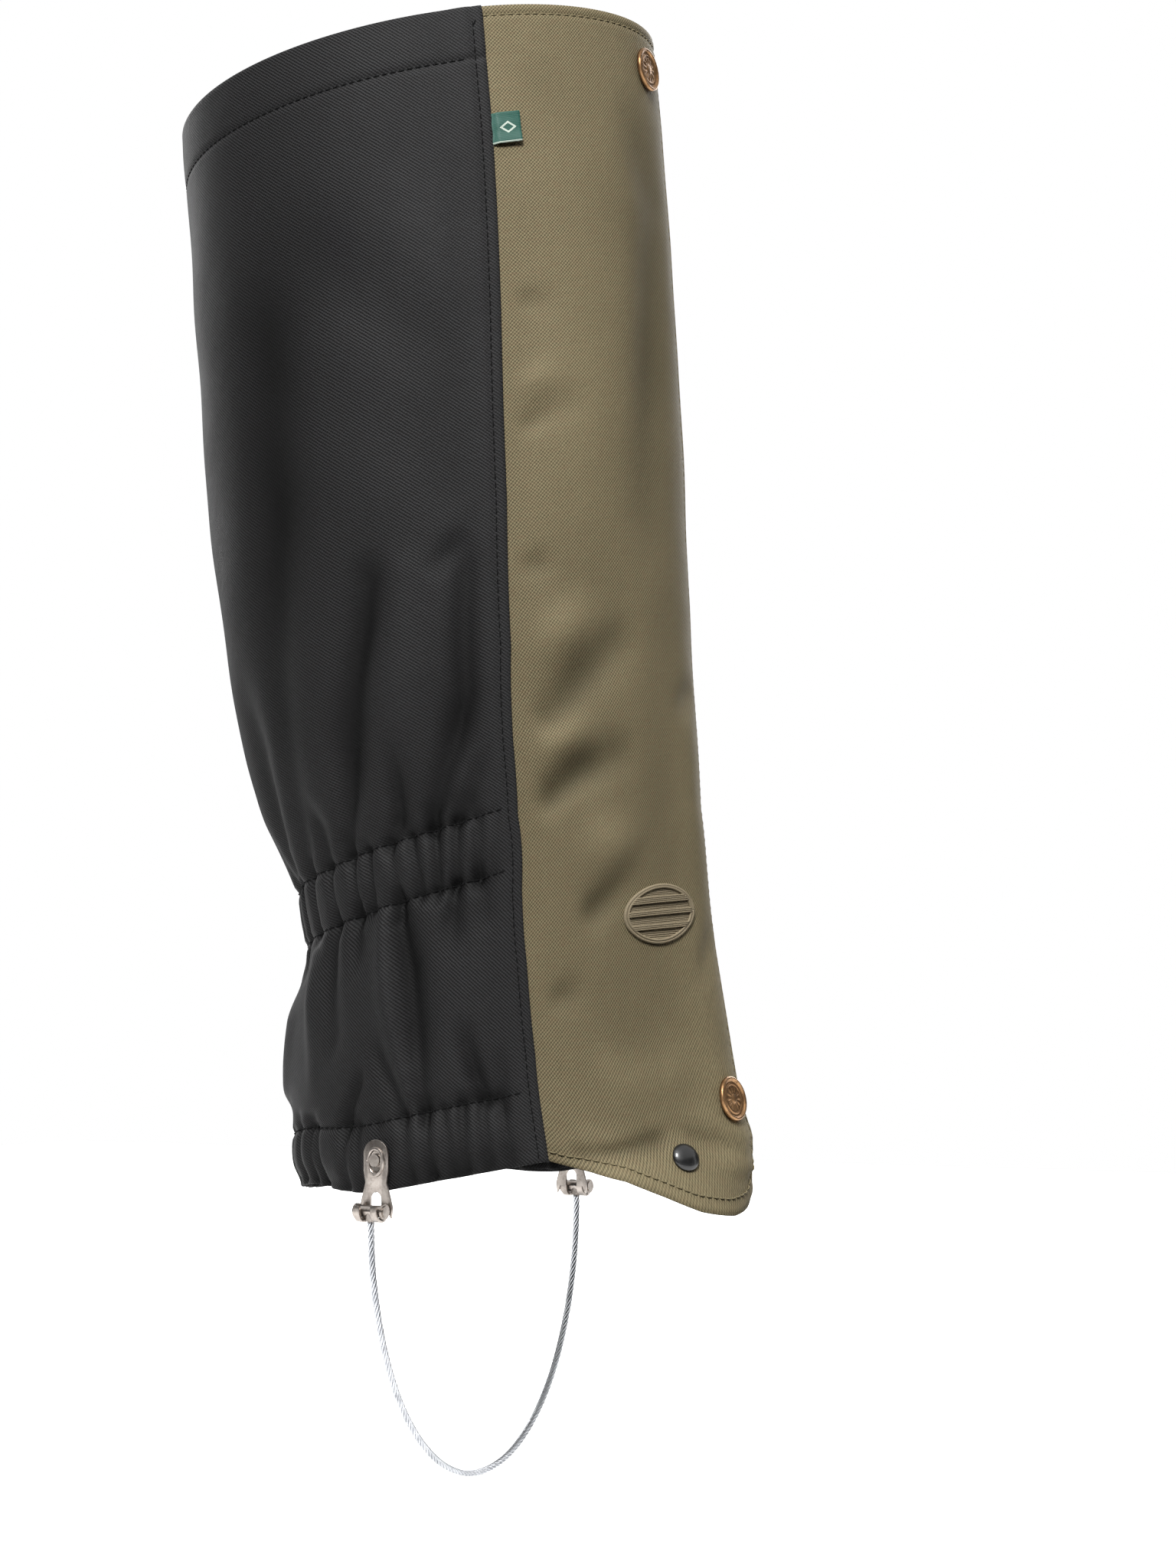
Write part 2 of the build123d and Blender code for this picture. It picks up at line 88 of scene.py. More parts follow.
# The sewn seam wanders by up to 4 mm from the straight hinge line
SEAM_LINE = table("""
-110 52.8, -75 53.2, -45 55.2, -20 57.6, 5 58.4, 30 56.2, 60 52.6, 110 50, 177 47.9, 240 46.4, 285 46
""")
FLAP_EDGE = table("-110 18, 0 18.5, 285 20.5")
UNDERLAP_FREE_EDGE = table("-110 -2, -84 -4, -56 -16, 285 -16")
EGG = 0.10
RIDGE = table("-110 12.5, 0 1.2, 285 3")
RIDGE_ANGLE = 16.0
RIDGE_SPREAD = 24.0
CREASE = -84.0
KICK = 8.0
KICK_ANGLE = -12.0
KICK_SPREAD = 26.0
FACING_TOP = -1.1
HOOK_TAPE_TOP = -1.8
LOOP_TAPE_TOP = -3.5
UNDERLAP_TOP = -5.0
UPPER_SNAP = (6.5, 268.0)
LOWER_SNAP = (9.0, -84.5)
LACE_RIVET = (-12.0, -98.3)
TONGUE_CORNER = 17.0    # the cloth curls in a little more than the cut
HEM_STITCH = 3.2        # from the flap's hem to its stitches
HOOK_Y = 9.0
HOOK_Z = -101.5
PLATE_FACE = 64.4       # outer face of a hook plate, from the middle of the boot

HEM_LIFT = 8.5          # the elastic draws the hem up behind the heel
MM_PER_DEGREE = 1.38    # arc length of one degree on the average section
STEP = 1.45             # grid spacing of the cloth
SEAM_INSET = 2.3        # degrees from the seam to the stitches beside it
EDGE_INSET = 2.9        # from the flap's free edge to its stitches
EDGE_STITCH = EDGE_INSET / MM_PER_DEGREE
RIM_STITCH = RIM - 3.2
rng = random.Random(41)


# ---- the sleeve's surface
def linear(rows, h):
    heights, values = zip(*rows)
    return np.interp(h, heights, values)


def seam_at(h):
    return linear(SEAM_LINE, h)


def smooth(column, h):
    """One column of SECTIONS at heights h, along a cubic through the rows."""
    heights = SECTIONS[:, 0]
    values = SECTIONS[:, column]
    last = len(heights) - 1
    rows = np.arange(last + 1)
    before = np.maximum(rows - 1, 0)
    after = np.minimum(rows + 1, last)
    slopes = (values[after] - values[before]) / (heights[after] - heights[before])
    i = np.clip(np.searchsorted(heights, h, side="left") - 1, 0, last - 1)
    span = heights[i + 1] - heights[i]
    t = (h - heights[i]) / span
    start = (2 * t**3 - 3 * t**2 + 1) * values[i] + (t**3 - 2 * t**2 + t) * span * slopes[i]
    end = (3 * t**2 - 2 * t**3) * values[i + 1] + (t**3 - t**2) * span * slopes[i + 1]
    return start + end


def wrap(angle):
    return (np.asarray(angle, float) + 180) % 360 - 180


def ease(t):
    t = np.clip(t, 0.0, 1.0)
    return t * t * (3 - 2 * t)


def pinch(x, middle, width):
    return np.exp(-(((x - middle) / width) ** 2))


def stand_off(angle, h):
    """How far the closed front and the tongue stand off the plain section."""
    angle = wrap(angle)
    ridge = linear(RIDGE, h) * pinch(angle, RIDGE_ANGLE, RIDGE_SPREAD)
    below = np.maximum(0.0, CREASE - h) / (CREASE - HEM)
    return ridge + KICK * below**1.5 * pinch(angle, KICK_ANGLE, KICK_SPREAD)


def section_point(angle, h):
    a = np.radians(angle)
    half_depth = smooth(2, h)
    extra = stand_off(angle, h)
    x = half_depth * smooth(3, h) * np.sin(a) * (1 - EGG * np.cos(a)) + extra * np.sin(a)
    return x, -(half_depth + extra) * np.cos(a)


def surface(angle, h, offset=0.0):
    """Points in millimetres at angles from the shin (negative outwards), heights and offsets."""
    angle, h, offset = np.broadcast_arrays(*(np.asarray(v, float) for v in (angle, h, offset)))
    x, dy = section_point(angle, h)
    x0, y0 = section_point(angle - 0.5, h)
    x1, y1 = section_point(angle + 0.5, h)
    length = np.hypot(x1 - x0, y1 - y0)
    x = x + offset * (y1 - y0) / length
    dy = dy - offset * (x1 - x0) / length
    seam = linear(SEAM_ANGLE, h)
    z = h + linear(REAR_TILT, h) * dy
    dy_seam = -smooth(2, h) * np.cos(np.radians(seam))
    front = h + linear(REAR_TILT, h) * dy_seam + linear(FRONT_TILT, h) * (dy - dy_seam)
    side = np.abs(wrap(angle))
    z = np.where(side < seam, front, z) + HEM_LIFT * ease((side - 97) / 38) * ease((-58 - h) / 52)
    return np.stack([x, smooth(1, h) + dy, z], axis=-1)


def spot(angle, h, lift=0.0):
    """A matrix in millimetres on the flap's cloth: X along it, Y up the leg and Z outwards."""
    def on_cloth(a, height):
        return Vector(surface(a, height, flap_relief(a, height)))

    along = (on_cloth(angle + 2, h) - on_cloth(angle - 2, h)).normalized()
    up = on_cloth(angle, h + 2) - on_cloth(angle, h - 2)
    normal = along.cross(up).normalized()
    across = normal.cross(along)
    place = Matrix((along, across, normal)).transposed().to_4x4()
    place.translation = on_cloth(angle, h) + normal * lift
    return place


# ---- folds in the cloth
def crease(angle, h, rows):
    """One soft fold along a line of (angle, height, depth, half width) rows; depth is negative in a valley."""
    relief = np.zeros(np.shape(angle))
    nearest = relief + 1e9
    for (a0, h0, d0, w0), (a1, h1, d1, w1) in zip(rows, rows[1:]):
        run = wrap(a1 - a0) * MM_PER_DEGREE
        across = wrap(angle - a0) * MM_PER_DEGREE
        rise = h1 - h0
        t = np.clip((across * run + (h - h0) * rise) / (run * run + rise * rise), 0, 1)
        distance = np.hypot(across - t * run, h - h0 - t * rise)
        soft = ease(t)
        profile = (d0 + (d1 - d0) * soft) * pinch(distance, 0, w0 + (w1 - w0) * t)
        relief = np.where(distance < nearest, profile, relief)
        nearest = np.minimum(nearest, distance)
    return relief


def folds(text):
    """Folds parted by semicolons; their rows hold an angle, a height, a depth and a half width."""
    return [table(fold) for fold in text.split(";")]


def mirrored(rows, turn, drop, share):
    return [(-a + turn, h - drop, d * share, w) for a, h, d, w in rows]


ANKLE_TOP = 8.0         # heights of the stitch lines
ANKLE_LOW = -12.5
HEM_LINE = -87.0
RIM_LINE = 266.5
HOOK_ANGLE = 97.5       # where the hook plates lie flat on the hem
REAR_DEPTH = 1.5        # how much deeper the folds are made than their tables say
FLAP_DEPTH = 2.2
DEEPEST = -4.8          # valleys below this are made shallower

# Folds of the outer side that the leg's shape pulls into the black cloth
CALF_FOLDS = folds("""
-84 106 0 5, -83.3 94 -1.9 6, -86 79 -2.4 6, -94 50 -2.8 7, -101 28 -2.8 5, -108 9 -1.8 3.4;
-83 104 0 5, -77 92 0.9 8, -80 60 1.6 11, -84 34 0.6 6;
-57.6 103 0 4, -60.2 87 -2 4.5, -62.6 66 -2.3 5, -64 48 -2.3 5, -72.9 29 -2 5, -82 8 -1.5 3;
-58 103 -0.4 4, -63.4 97 -1.2 4.5, -70 86 0 5;
-85 44 0 3, -86.7 31 -1.7 3.6, -89 17 -2 3.2, -94 6 -1.4 2.6;
-60 31 0 3, -66 22 -1.3 3.6, -73.6 9 -1.5 2.8;
-106 240 0 12, -104 190 -1.6 13, -106 130 -2.2 12, -112 84 -1.6 10, -118 40 -1.6 7, -127 10 -1.4 3.5;
-133 90 0 10, -131 55 -2 9, -137 26 -2.4 6, -143 8 -1.6 3;
-160 70 0 8, -156 45 -2.2 7, -158 22 -2.6 5, -165 8 -1.8 3;
-116 36 0 4, -115 22 -1.5 4, -117 8 -1.6 2.8
""")
# Folds between the ankle elastic and the hem
ANKLE_FOLDS = folds("""
-93.6 -10 -1.6 2.6, -92 -20 -2.6 4.4, -87.6 -38 -3 6, -85.4 -58 -2.8 6.4, -84 -76 -1.9 5, -83 -90 -1.2 3;
-98.5 -12 0.5 3, -96 -24 1.6 4.6, -92.6 -48 2 5.4, -88.4 -72 1.4 4.4, -87 -86 0.4 3;
-107.5 -10 -1.5 2.6, -106.5 -20 -1.7 4, -103 -40 0 5;
-117 -10 -1.6 2.6, -117 -24 -2 4, -113 -52 -1.2 5, -112 -66 0 5;
-76 -12 -1.6 2.6, -76.2 -22 -1.6 4, -74.5 -42 0 6;
-69.4 -10 -1.3 2.6, -66.8 -24 -0.8 4, -65 -34 0 5;
-73 -56 0 3, -71 -68 -1.7 3.4, -69 -78 -2.2 3.2, -66 -88 -1.6 2.6;
-98 -54 0 3, -95.5 -66 -1.4 3.2, -91 -78 -1.7 3.2, -89 -89 -1.2 2.6;
-101 -64 0 2.4, -103.6 -73 -1.6 2.6, -107.5 -82 -1.6 2.6, -109 -90 -1 2.6;
-62.5 -68 0 3, -61.5 -80 -1 3, -62 -92 -1 2.6;
-128 -14 0.3 3, -125 -34 1.5 5, -123 -60 0.6 5, -122 -80 0 5;
-150 -16 -1.6 3, -147 -40 1.9 9, -150 -62 1.9 10, -153 -80 0 7;
-172 -12 -1.4 3, -168 -34 -2 6, -170 -60 -1.8 6, -175 -84 -1.2 3
""")
TUNNEL_VALLEYS = [-127, -117, -107.5, -101.5, -93.6, -87, -81, -75.5, -69.4, -64]
HEM_VALLEYS = [-121, -109.5, -104, -97, -89, -83, -77.5, -73.5, -68, -62.5]


def tunnel_pleats(angles, top, low, reach_up, reach_down):
    """Pleats that an elastic gathers between two stitch lines, each dying out above and below."""
    pleats = []
    for angle in angles:
        depth = -rng.uniform(1.2, 2.2)
        lean = rng.uniform(-1.6, 1.6)
        up = rng.uniform(0.35, 1.0) * reach_up
        down = rng.uniform(0.35, 1.0) * reach_down
        # share of the lean, height, share of the depth, half width
        rows = (
            (2.2, top + up, 0, 4.6), (1.4, top + 0.45 * up, 0.5, 3.4), (0.6, top, 1, 2.3),
            (0, (top + low) / 2, 0.75, 2.1),
            (-0.6, low, 1, 2.3), (-1.4, low - 0.45 * down, 0.5, 3.2), (-2.2, low - down, 0, 4.6),
        )
        pleats.append([(angle + part * lean, h, share * depth, width) for part, h, share, width in rows])
    return pleats


def spread_angles(start, end):
    """Irregular pleat places from start to end degrees, 8 to 14 mm apart."""
    angles = []
    angle = start
    while angle < end:
        angles.append(wrap(angle).item())
        angle += rng.uniform(6.0, 10.2)
    return angles


BACK_AND_INNER = spread_angles(60, 229)
HEM_BACK_AND_INNER = spread_angles(60, 235)
REAR_FOLDS = (
    CALF_FOLDS
    + [mirrored(f, 3, 9, 0.85) for f in CALF_FOLDS]
    + ANKLE_FOLDS
    + [mirrored(f, -2, 4, 0.9) for f in ANKLE_FOLDS]
    + tunnel_pleats(TUNNEL_VALLEYS, ANKLE_TOP, ANKLE_LOW, 13, 10)
    + tunnel_pleats(BACK_AND_INNER, ANKLE_TOP, ANKLE_LOW, 30, 24)
    + tunnel_pleats(HEM_VALLEYS, HEM_LINE, HEM + 1, 9, 4)
    + tunnel_pleats(HEM_BACK_AND_INNER, HEM_LINE, HEM + 1, 22, 4)
)


def ripple(angle, h, amount, seed):
    """Gentle unevenness of hanging cloth."""
    waves = random.Random(seed)
    s = wrap(angle) * MM_PER_DEGREE
    relief = np.zeros(np.shape(s))
    for _ in range(7):
        turns = waves.randint(3, 11)
        tall = waves.uniform(45, 150)
        shift = waves.uniform(0, 6.28)
        lean = waves.uniform(-0.5, 0.5)
        relief = relief + np.sin(np.radians(wrap(angle) * turns) + h / tall * 6.28 * lean * 2 + shift) * np.cos(
            h / tall + shift
        )
    return amount * relief / 7


def rear_relief(angle, h):
    """How far the outer face of the black panel stands off its plain section."""
    side = np.abs(wrap(angle))
    inside = side - seam_at(h)
    relief = np.zeros(np.shape(inside))
    for rows in REAR_FOLDS:
        relief = relief + REAR_DEPTH * crease(angle, h, rows)
    relief = np.where(relief < DEEPEST, DEEPEST + 0.3 * (relief - DEEPEST), relief)
    relief = relief + ripple(angle, h, 2.0, 5) * ease((285 - h) / 60)
    blouse = 1.6 * pinch(h, 30, 20) * ease((side - 80) / 50) + 0.8 * pinch(h, -50, 20)
    tunnels = 0.9 * pinch(h, -2, 6.5) + 0.8 * pinch(h, -97, 7) - 1.6 * ease((-101 - h) / 9)
    lines = -1.0 * pinch(h, ANKLE_TOP, 1.8) - 1.0 * pinch(h, ANKLE_LOW, 1.8) - 0.9 * pinch(h, HEM_LINE, 1.8)
    hook = pinch(wrap(angle + HOOK_ANGLE), 0, 5.5) + pinch(wrap(angle - HOOK_ANGLE), 0, 5.5)
    flat_hem = 1 - hook * pinch(h, -99, 13)
    relief = (relief + blouse + tunnels + lines) * flat_hem
    relief = relief * ease((inside - 2.5) / 11)
    rim = 0.3 * pinch(h, 276, 8) - 0.45 * pinch(h, RIM_LINE, 1.1)
    edge = 0.8 * ease((10.0 - inside) / 7.0)
    seam_stitch = -0.3 * pinch(inside, SEAM_INSET, 0.7)
    return relief + rim + edge + seam_stitch


FLAP_FOLDS = folds("""
-52 30 0 6, -45 34 -0.9 7, -35 46 -1.3 8, -25 54 -0.8 8, -14 60 0 8;
-50 52 0 8, -38 62 0.9 9, -24 72 0 9;
-54 2 0 5, -48 9 -1.3 5.5, -40 15 -1.6 6, -28 18 -0.8 7, -18 20 0 7;
-54 18 0 6, -44 26 0.9 7, -30 31 0 7;
-42 -34 0 5, -35 -31 -1.1 6, -27 -26 -0.9 6, -12 -20 0 7;
-44 -4 0 8, -32 -12 1 9, -14 -14 0 9;
-8 262 0 10, 4 215 -0.9 12, -3 150 -1.1 12, -9 100 -0.6 12, -6 70 0 12;
-30 200 0 16, -30 120 0.9 18, -30 60 0 16;
-49 -104.5 0 3, -42 -104 -0.9 3, -34 -101.5 -1.5 2.6, -23 -97.6 -1.2 2.6, -12 -94.2 -0.7 2.6, 4 -95 -1 2.6,
  17 -96.5 -1.6 3;
-40 -78 0 7, -28 -84 0.7 7, -12 -82 0.6 7, 2 -74 0 7;
-50 133 0 4, -43 135 -0.6 4.5, -34 139 -0.35 6, -24 142 0 8;
-50 147 0 4, -42 149 0.5 5, -31 152 0 7;
-48 179 0 4, -41 178 -0.4 4.5, -32 174 0 6;
-53 86 0 4, -46 86 -0.6 4.5, -37 83 0 6;
-52 -58 0 4, -45 -57 -0.55 4.5, -36 -54 0 6;
15 44 0 5, 6 36 -0.6 6, -4 26 0 8;
15 -36 0 5, 8 -47 -0.6 5.5, 0 -60 0 7
""")


# The free edge springs away from the leg between the snaps
EDGE_STAND = table("""
-110 -5.5, -106 -3, -101 2.2, -98.5 6.6, -96 9.2, -92 7.2, -86 5.6, -70 4.8, -45 3.2, -20 2.2, 30 0.8, 80 0
""")


def flap_relief(angle, h):
    """How far the outer face of the olive flap stands off its plain section."""
    angle = wrap(angle)
    seam = seam_at(h)
    relief = np.zeros(np.shape(angle + h))
    for rows in FLAP_FOLDS:
        relief = relief + FLAP_DEPTH * crease(angle, h, rows)
    relief = relief + ripple(angle, h, 1.2, 8) * ease((285 - h) / 70) * ease((h + 100) / 40)
    for a, spot_h, reach in ((*UPPER_SNAP, 11), (*LOWER_SNAP, 10), (*LACE_RIVET, 7), (-12, -34.5, 22)):
        away = np.hypot((angle - a) * MM_PER_DEGREE, h - spot_h)
        relief = relief * (1 - np.exp(-((away / reach) ** 4)))
    relief = relief * ease((seam + angle - 0.5) / 8)
    from_edge = (linear(FLAP_EDGE, h) - angle) * MM_PER_DEGREE
    edge = pinch(from_edge, 0, 9)
    ruffle = edge * (0.9 * pinch(h, -105, 2) - 1.0 * pinch(h, -101.5, 2))
    tongue = 4.6 * ease((-94 - h) / 14) * ease((seam + angle - 2) / 20)
    stand = linear(EDGE_STAND, h) * pinch(from_edge, 0, 26)
    crest = 1.3 * pinch(from_edge, 19, 11) * ease((90 - h) / 80) * ease((h + 104) / 20)
    hems = -0.32 * pinch(from_edge, EDGE_INSET, 0.75) - 0.32 * pinch(h, RIM_STITCH, 0.75)
    return relief + ruffle + tongue + stand + crest + hems


def underlap_top(angle):
    return UNDERLAP_TOP * (1 - ease((wrap(angle) - 23.0) / 19.0))


def underlap_relief(angle, h):
    seam = seam_at(h)
    return 0.35 * ripple(angle, h, 1.0, 3) * ease((seam - angle) / 10) * ease((angle - 20) / 12)


def underlap_face(angle, h):
    return underlap_top(angle) + underlap_relief(angle, h)


def tape_relief(angle, h):
    """How far the layers under the flap's free edge follow its cloth."""
    return np.clip(flap_relief(angle, h), -2, 7)


# ---- mesh helpers
def having(thing, **settings):
    for key, value in settings.items():
        setattr(thing, key, value)
    return thing


def placed(name, data):
    obj = bpy.data.objects.new(name, data)
    bpy.context.scene.collection.objects.link(obj)
    return obj


def new_object(name, vertices, faces, material, uvs=None, fold=None):
    """A smooth-shaded mesh object from millimetre vertices; cloth has its map and fold depths too, for painted fold
    shade.
    """
    mesh = bpy.data.meshes.new(name)
    mesh.from_pydata((np.asarray(vertices) * MM).tolist(), [], faces)
    mesh.polygons.foreach_set("use_smooth", [True] * len(mesh.polygons))
    if uvs is not None:
        layer = mesh.uv_layers.new(name="cloth")
        corner = np.zeros(len(mesh.loops), np.int64)
        mesh.loops.foreach_get("vertex_index", corner)
        layer.data.foreach_set("uv", np.asarray(uvs, np.float32)[corner].ravel())
        layer.active_render = True
        attribute = mesh.attributes.new("fold", "FLOAT", "POINT")
        attribute.data.foreach_set("value", np.asarray(fold, np.float32))
    mesh.materials.append(material)
    mesh.update()
    return placed(name, mesh)


def cloth(name, angle, h, top, thickness, relief, material):
    """A closed piece of cloth with rounded edges over a grid of angles and heights.
    Columns run with rising angle and rows with rising height."""
    angle, h = np.broadcast_arrays(angle, h)
    rows, columns = angle.shape
    stand = top + relief
    outer = surface(angle, h, stand).reshape(-1, 3)
    inner = surface(angle, h, stand - thickness).reshape(-1, 3)
    count = rows * columns
    index = np.arange(count).reshape(rows, columns)
    border = np.concatenate([index[0, :-1], index[:-1, -1], index[-1, :0:-1], index[:0:-1, 0]])
    within = np.concatenate([index[1, :-1], index[:-1, -2], index[-2, :0:-1], index[:0:-1, 1]])
    away = outer[border] - outer[within]
    away /= np.linalg.norm(away, axis=1, keepdims=True) + 1e-9
    bulge = away * 0.42 * thickness
    loops = (share * outer[border] + (1 - share) * inner[border] + 0.8 * bulge for share in (0.75, 0.25))
    vertices = np.concatenate([outer, inner, *loops])
    ring = np.arange(len(border))
    following = np.roll(ring, -1)
    quads = np.stack([index[:-1, :-1], index[:-1, 1:], index[1:, 1:], index[1:, :-1]], axis=-1).reshape(-1, 4)
    faces = quads.tolist() + (count + quads[:, ::-1]).tolist()
    loops = [border, 2 * count + ring, 2 * count + len(border) + ring, count + border]
    for above, below in zip(loops, loops[1:]):
        band = np.stack([above, above[following], below[following], below], axis=-1)
        faces += band[:, ::-1].tolist()
    flat = np.stack([angle * MM_PER_DEGREE, h], axis=-1).reshape(-1, 2) / 100
    fold = np.broadcast_to(relief, angle.shape).reshape(-1)
    extras = (np.concatenate([v, v, v[border], v[border]]) for v in (flat, fold))
    return new_object(name, vertices, faces, material, *extras)


def spaced(low, high, step, lines=()):
    """Even grid places from low to high, closer together beside the given lines."""
    places = list(np.linspace(low, high, max(2, int(round((high - low) / step)) + 1)))
    for line in lines:
        places = [p for p in places if abs(p - line) > 1.7 or p in (low, high)]
        places += [line + d for d in (-1.2, -0.6, 0, 0.6, 1.2) if low < line + d < high]
    return np.array(sorted(places))


def ring_faces(rings, sides, first=0):
    faces = []
    for i in range(rings - 1):
        a = first + i * sides
        faces += [[a + j, a + (j + 1) % sides, a + sides + (j + 1) % sides, a + sides + j] for j in range(sides)]
    return faces


def tube(points, radius, sides=8, taper=None):
    """Vertices and faces of a round tube along points, in millimetres, closed at both ends."""
    points = np.asarray(points, float)
    tangent = unit(np.gradient(points, axis=0))
    guide = np.array([0.0, 1.0, 0.0]) if abs(tangent[0, 1]) < 0.8 else np.array([1.0, 0.0, 0.0])
    normal = np.cross(tangent[0], guide)
    normals = []
    for t in tangent:
        normal = normal - t * (normal @ t)
        normal = normal / np.linalg.norm(normal)
        normals.append(normal)
    normals = np.array(normals)
    binormals = np.cross(tangent, normals)
    turn = np.linspace(0, TURN, sides, endpoint=False)
    scale = np.full(len(points), radius) if taper is None else radius * np.asarray(taper)
    ring = normals[:, None, :] * np.cos(turn)[None, :, None] + binormals[:, None, :] * np.sin(turn)[None, :, None]
    vertices = (points[:, None, :] + ring * scale[:, None, None]).reshape(-1, 3)
    faces = ring_faces(len(points), sides)
    faces.append(list(range(sides))[::-1])
    faces.append([(len(points) - 1) * sides + j for j in range(sides)])
    return vertices, faces


def joined(name, parts, material):
    """One object from several vertex arrays with their faces."""
    vertices, faces, start = [], [], 0
    for part_vertices, part_faces in parts:
        vertices.append(part_vertices)
        faces += [[start + v for v in f] for f in part_faces]
        start += len(part_vertices)
    return new_object(name, np.concatenate(vertices), faces, material)


def fit(piece, body, node=None):
    """Hides the CAD node that a piece stands for, if given, and hangs the piece on its body's empty;
    a piece of the "bend" across the flap's hinge has its transform baked in instead."""
    if node:
        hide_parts(node)
    if body == "bend":
        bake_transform(piece)
    else:
        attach(piece, body)
    return piece


def unit(vectors):
    return vectors / np.linalg.norm(vectors, axis=1, keepdims=True)


def travelled(line):
    """The distance from the first point of a line to each of its points."""
    return np.concatenate([[0], np.cumsum(np.linalg.norm(np.diff(line, axis=0), axis=1))])


def resampled(line, step):
    """Points of a line at even distances."""
    lengths = travelled(line)
    places = spaced(0, lengths[-1], step)
    return np.stack([np.interp(places, lengths, line[:, k]) for k in range(3)], axis=-1)


THREAD = 0.27           # radius of the sewing thread
STITCH = 3.0            # length of one stitch with its gap


def stitch_line(angle, h, relief, top=0.0, out=1.0):
    """Sewing thread along angles and heights on a cloth with that relief: short humps that dive into it between
    stitches; out is -1 on its inner face."""
    angle, h = np.broadcast_arrays(np.asarray(angle, float), np.asarray(h, float))
    stand = top + relief(angle, h)
    line = surface(angle, h, stand)
    normals = unit(surface(angle, h, stand + out) - line)
    fine = resampled(line, STITCH / 6)
    at = np.linspace(0, 1, len(fine))
    source = np.linspace(0, 1, len(normals))
    normal = unit(np.stack([np.interp(at, source, normals[:, k]) for k in range(3)], axis=-1))
    lift = np.array([-0.30, 0.10, 0.20, 0.20, 0.10, -0.30])[:, None]
    return [
        tube(fine[i:i + 6] + normal[i:i + 6] * lift, THREAD, 6, [0.7, 1, 1, 1, 1, 0.7])
        for i in range(0, len(fine) - 6, 6)
    ]


def no_relief(angle, h):
    return 0.0 * (angle + h)


def lathe(name, place, profile, material, relief=no_relief, sides=72):
    """A turned piece about a spot's Z axis from (radius, height) rows; the first and last row lie on the axis."""
    turn = np.linspace(0, TURN, sides, endpoint=False)
    radius, z = np.array(profile[1:-1]).T[:, :, None]
    z = z + relief(radius, turn)
    walls = np.stack([radius * np.cos(turn), radius * np.sin(turn), z], -1).reshape(-1, 3)
    points = np.concatenate([[[0, 0, profile[0][1]]], walls, [[0, 0, profile[-1][1]]]])
    last = 1 + (len(radius) - 1) * sides
    faces = ring_faces(len(radius), sides, 1)
    for j in range(sides):
        k = (j + 1) % sides
        faces += [[0, 1 + k, 1 + j], [last + j, last + k, len(points) - 1]]
    turned = np.array([place @ Vector(p) for p in points])
    return new_object(name, turned, faces, material)


def evaluated(obj):
    return bpy.data.meshes.new_from_object(obj.evaluated_get(bpy.context.evaluated_depsgraph_get()))


def bevelled(name, node, width, material):
    """A copy of a CAD node's solid with its stamped edges rounded, as a piece of its own."""
    mesh = nodes[node].data.copy()
    mesh.name = name
    obj = placed(name, mesh)
    flat, corner, sharp = (math.radians(v) for v in (1, 34, 40))
    having(obj.modifiers.new("weld", "WELD"), merge_threshold=1e-6)
    having(obj.modifiers.new("flat", "DECIMATE"), decimate_type="DISSOLVE", angle_limit=flat)
    bevel = obj.modifiers.new("bevel", "BEVEL")
    having(bevel, width=width * MM, segments=3, limit_method="ANGLE", angle_limit=corner)
    done = evaluated(obj)
    obj.modifiers.clear()
    obj.data = done
    done.materials.clear()
    done.materials.append(material)
    done.polygons.foreach_set("use_smooth", [True] * len(done.polygons))
    done.set_sharp_from_angle(angle=sharp)
    return obj


# ---- materials
class Value:
    """A value inside a material; arithmetic on it adds math nodes."""

    def __init__(self, tree, socket):
        self.tree = tree
        self.socket = socket

    def math(self, operation, other=0.0, clamp=False):
        node = having(self.tree.nodes.new("ShaderNodeMath"), operation=operation, use_clamp=clamp)
        self.tree.plug(node.inputs[0], self)
        self.tree.plug(node.inputs[1], other)
        return Value(self.tree, node.outputs[0])

    def __add__(self, other):
        return self.math("ADD", other)

    def __sub__(self, other):
        return self.math("SUBTRACT", other)

    def __mul__(self, other):
        return self.math("MULTIPLY", other)

    def clamped(self):
        return self.math("ADD", 0.0, clamp=True)

    def sine(self):
        return self.math("SINE")

    def size(self):
        return self.math("ABSOLUTE")


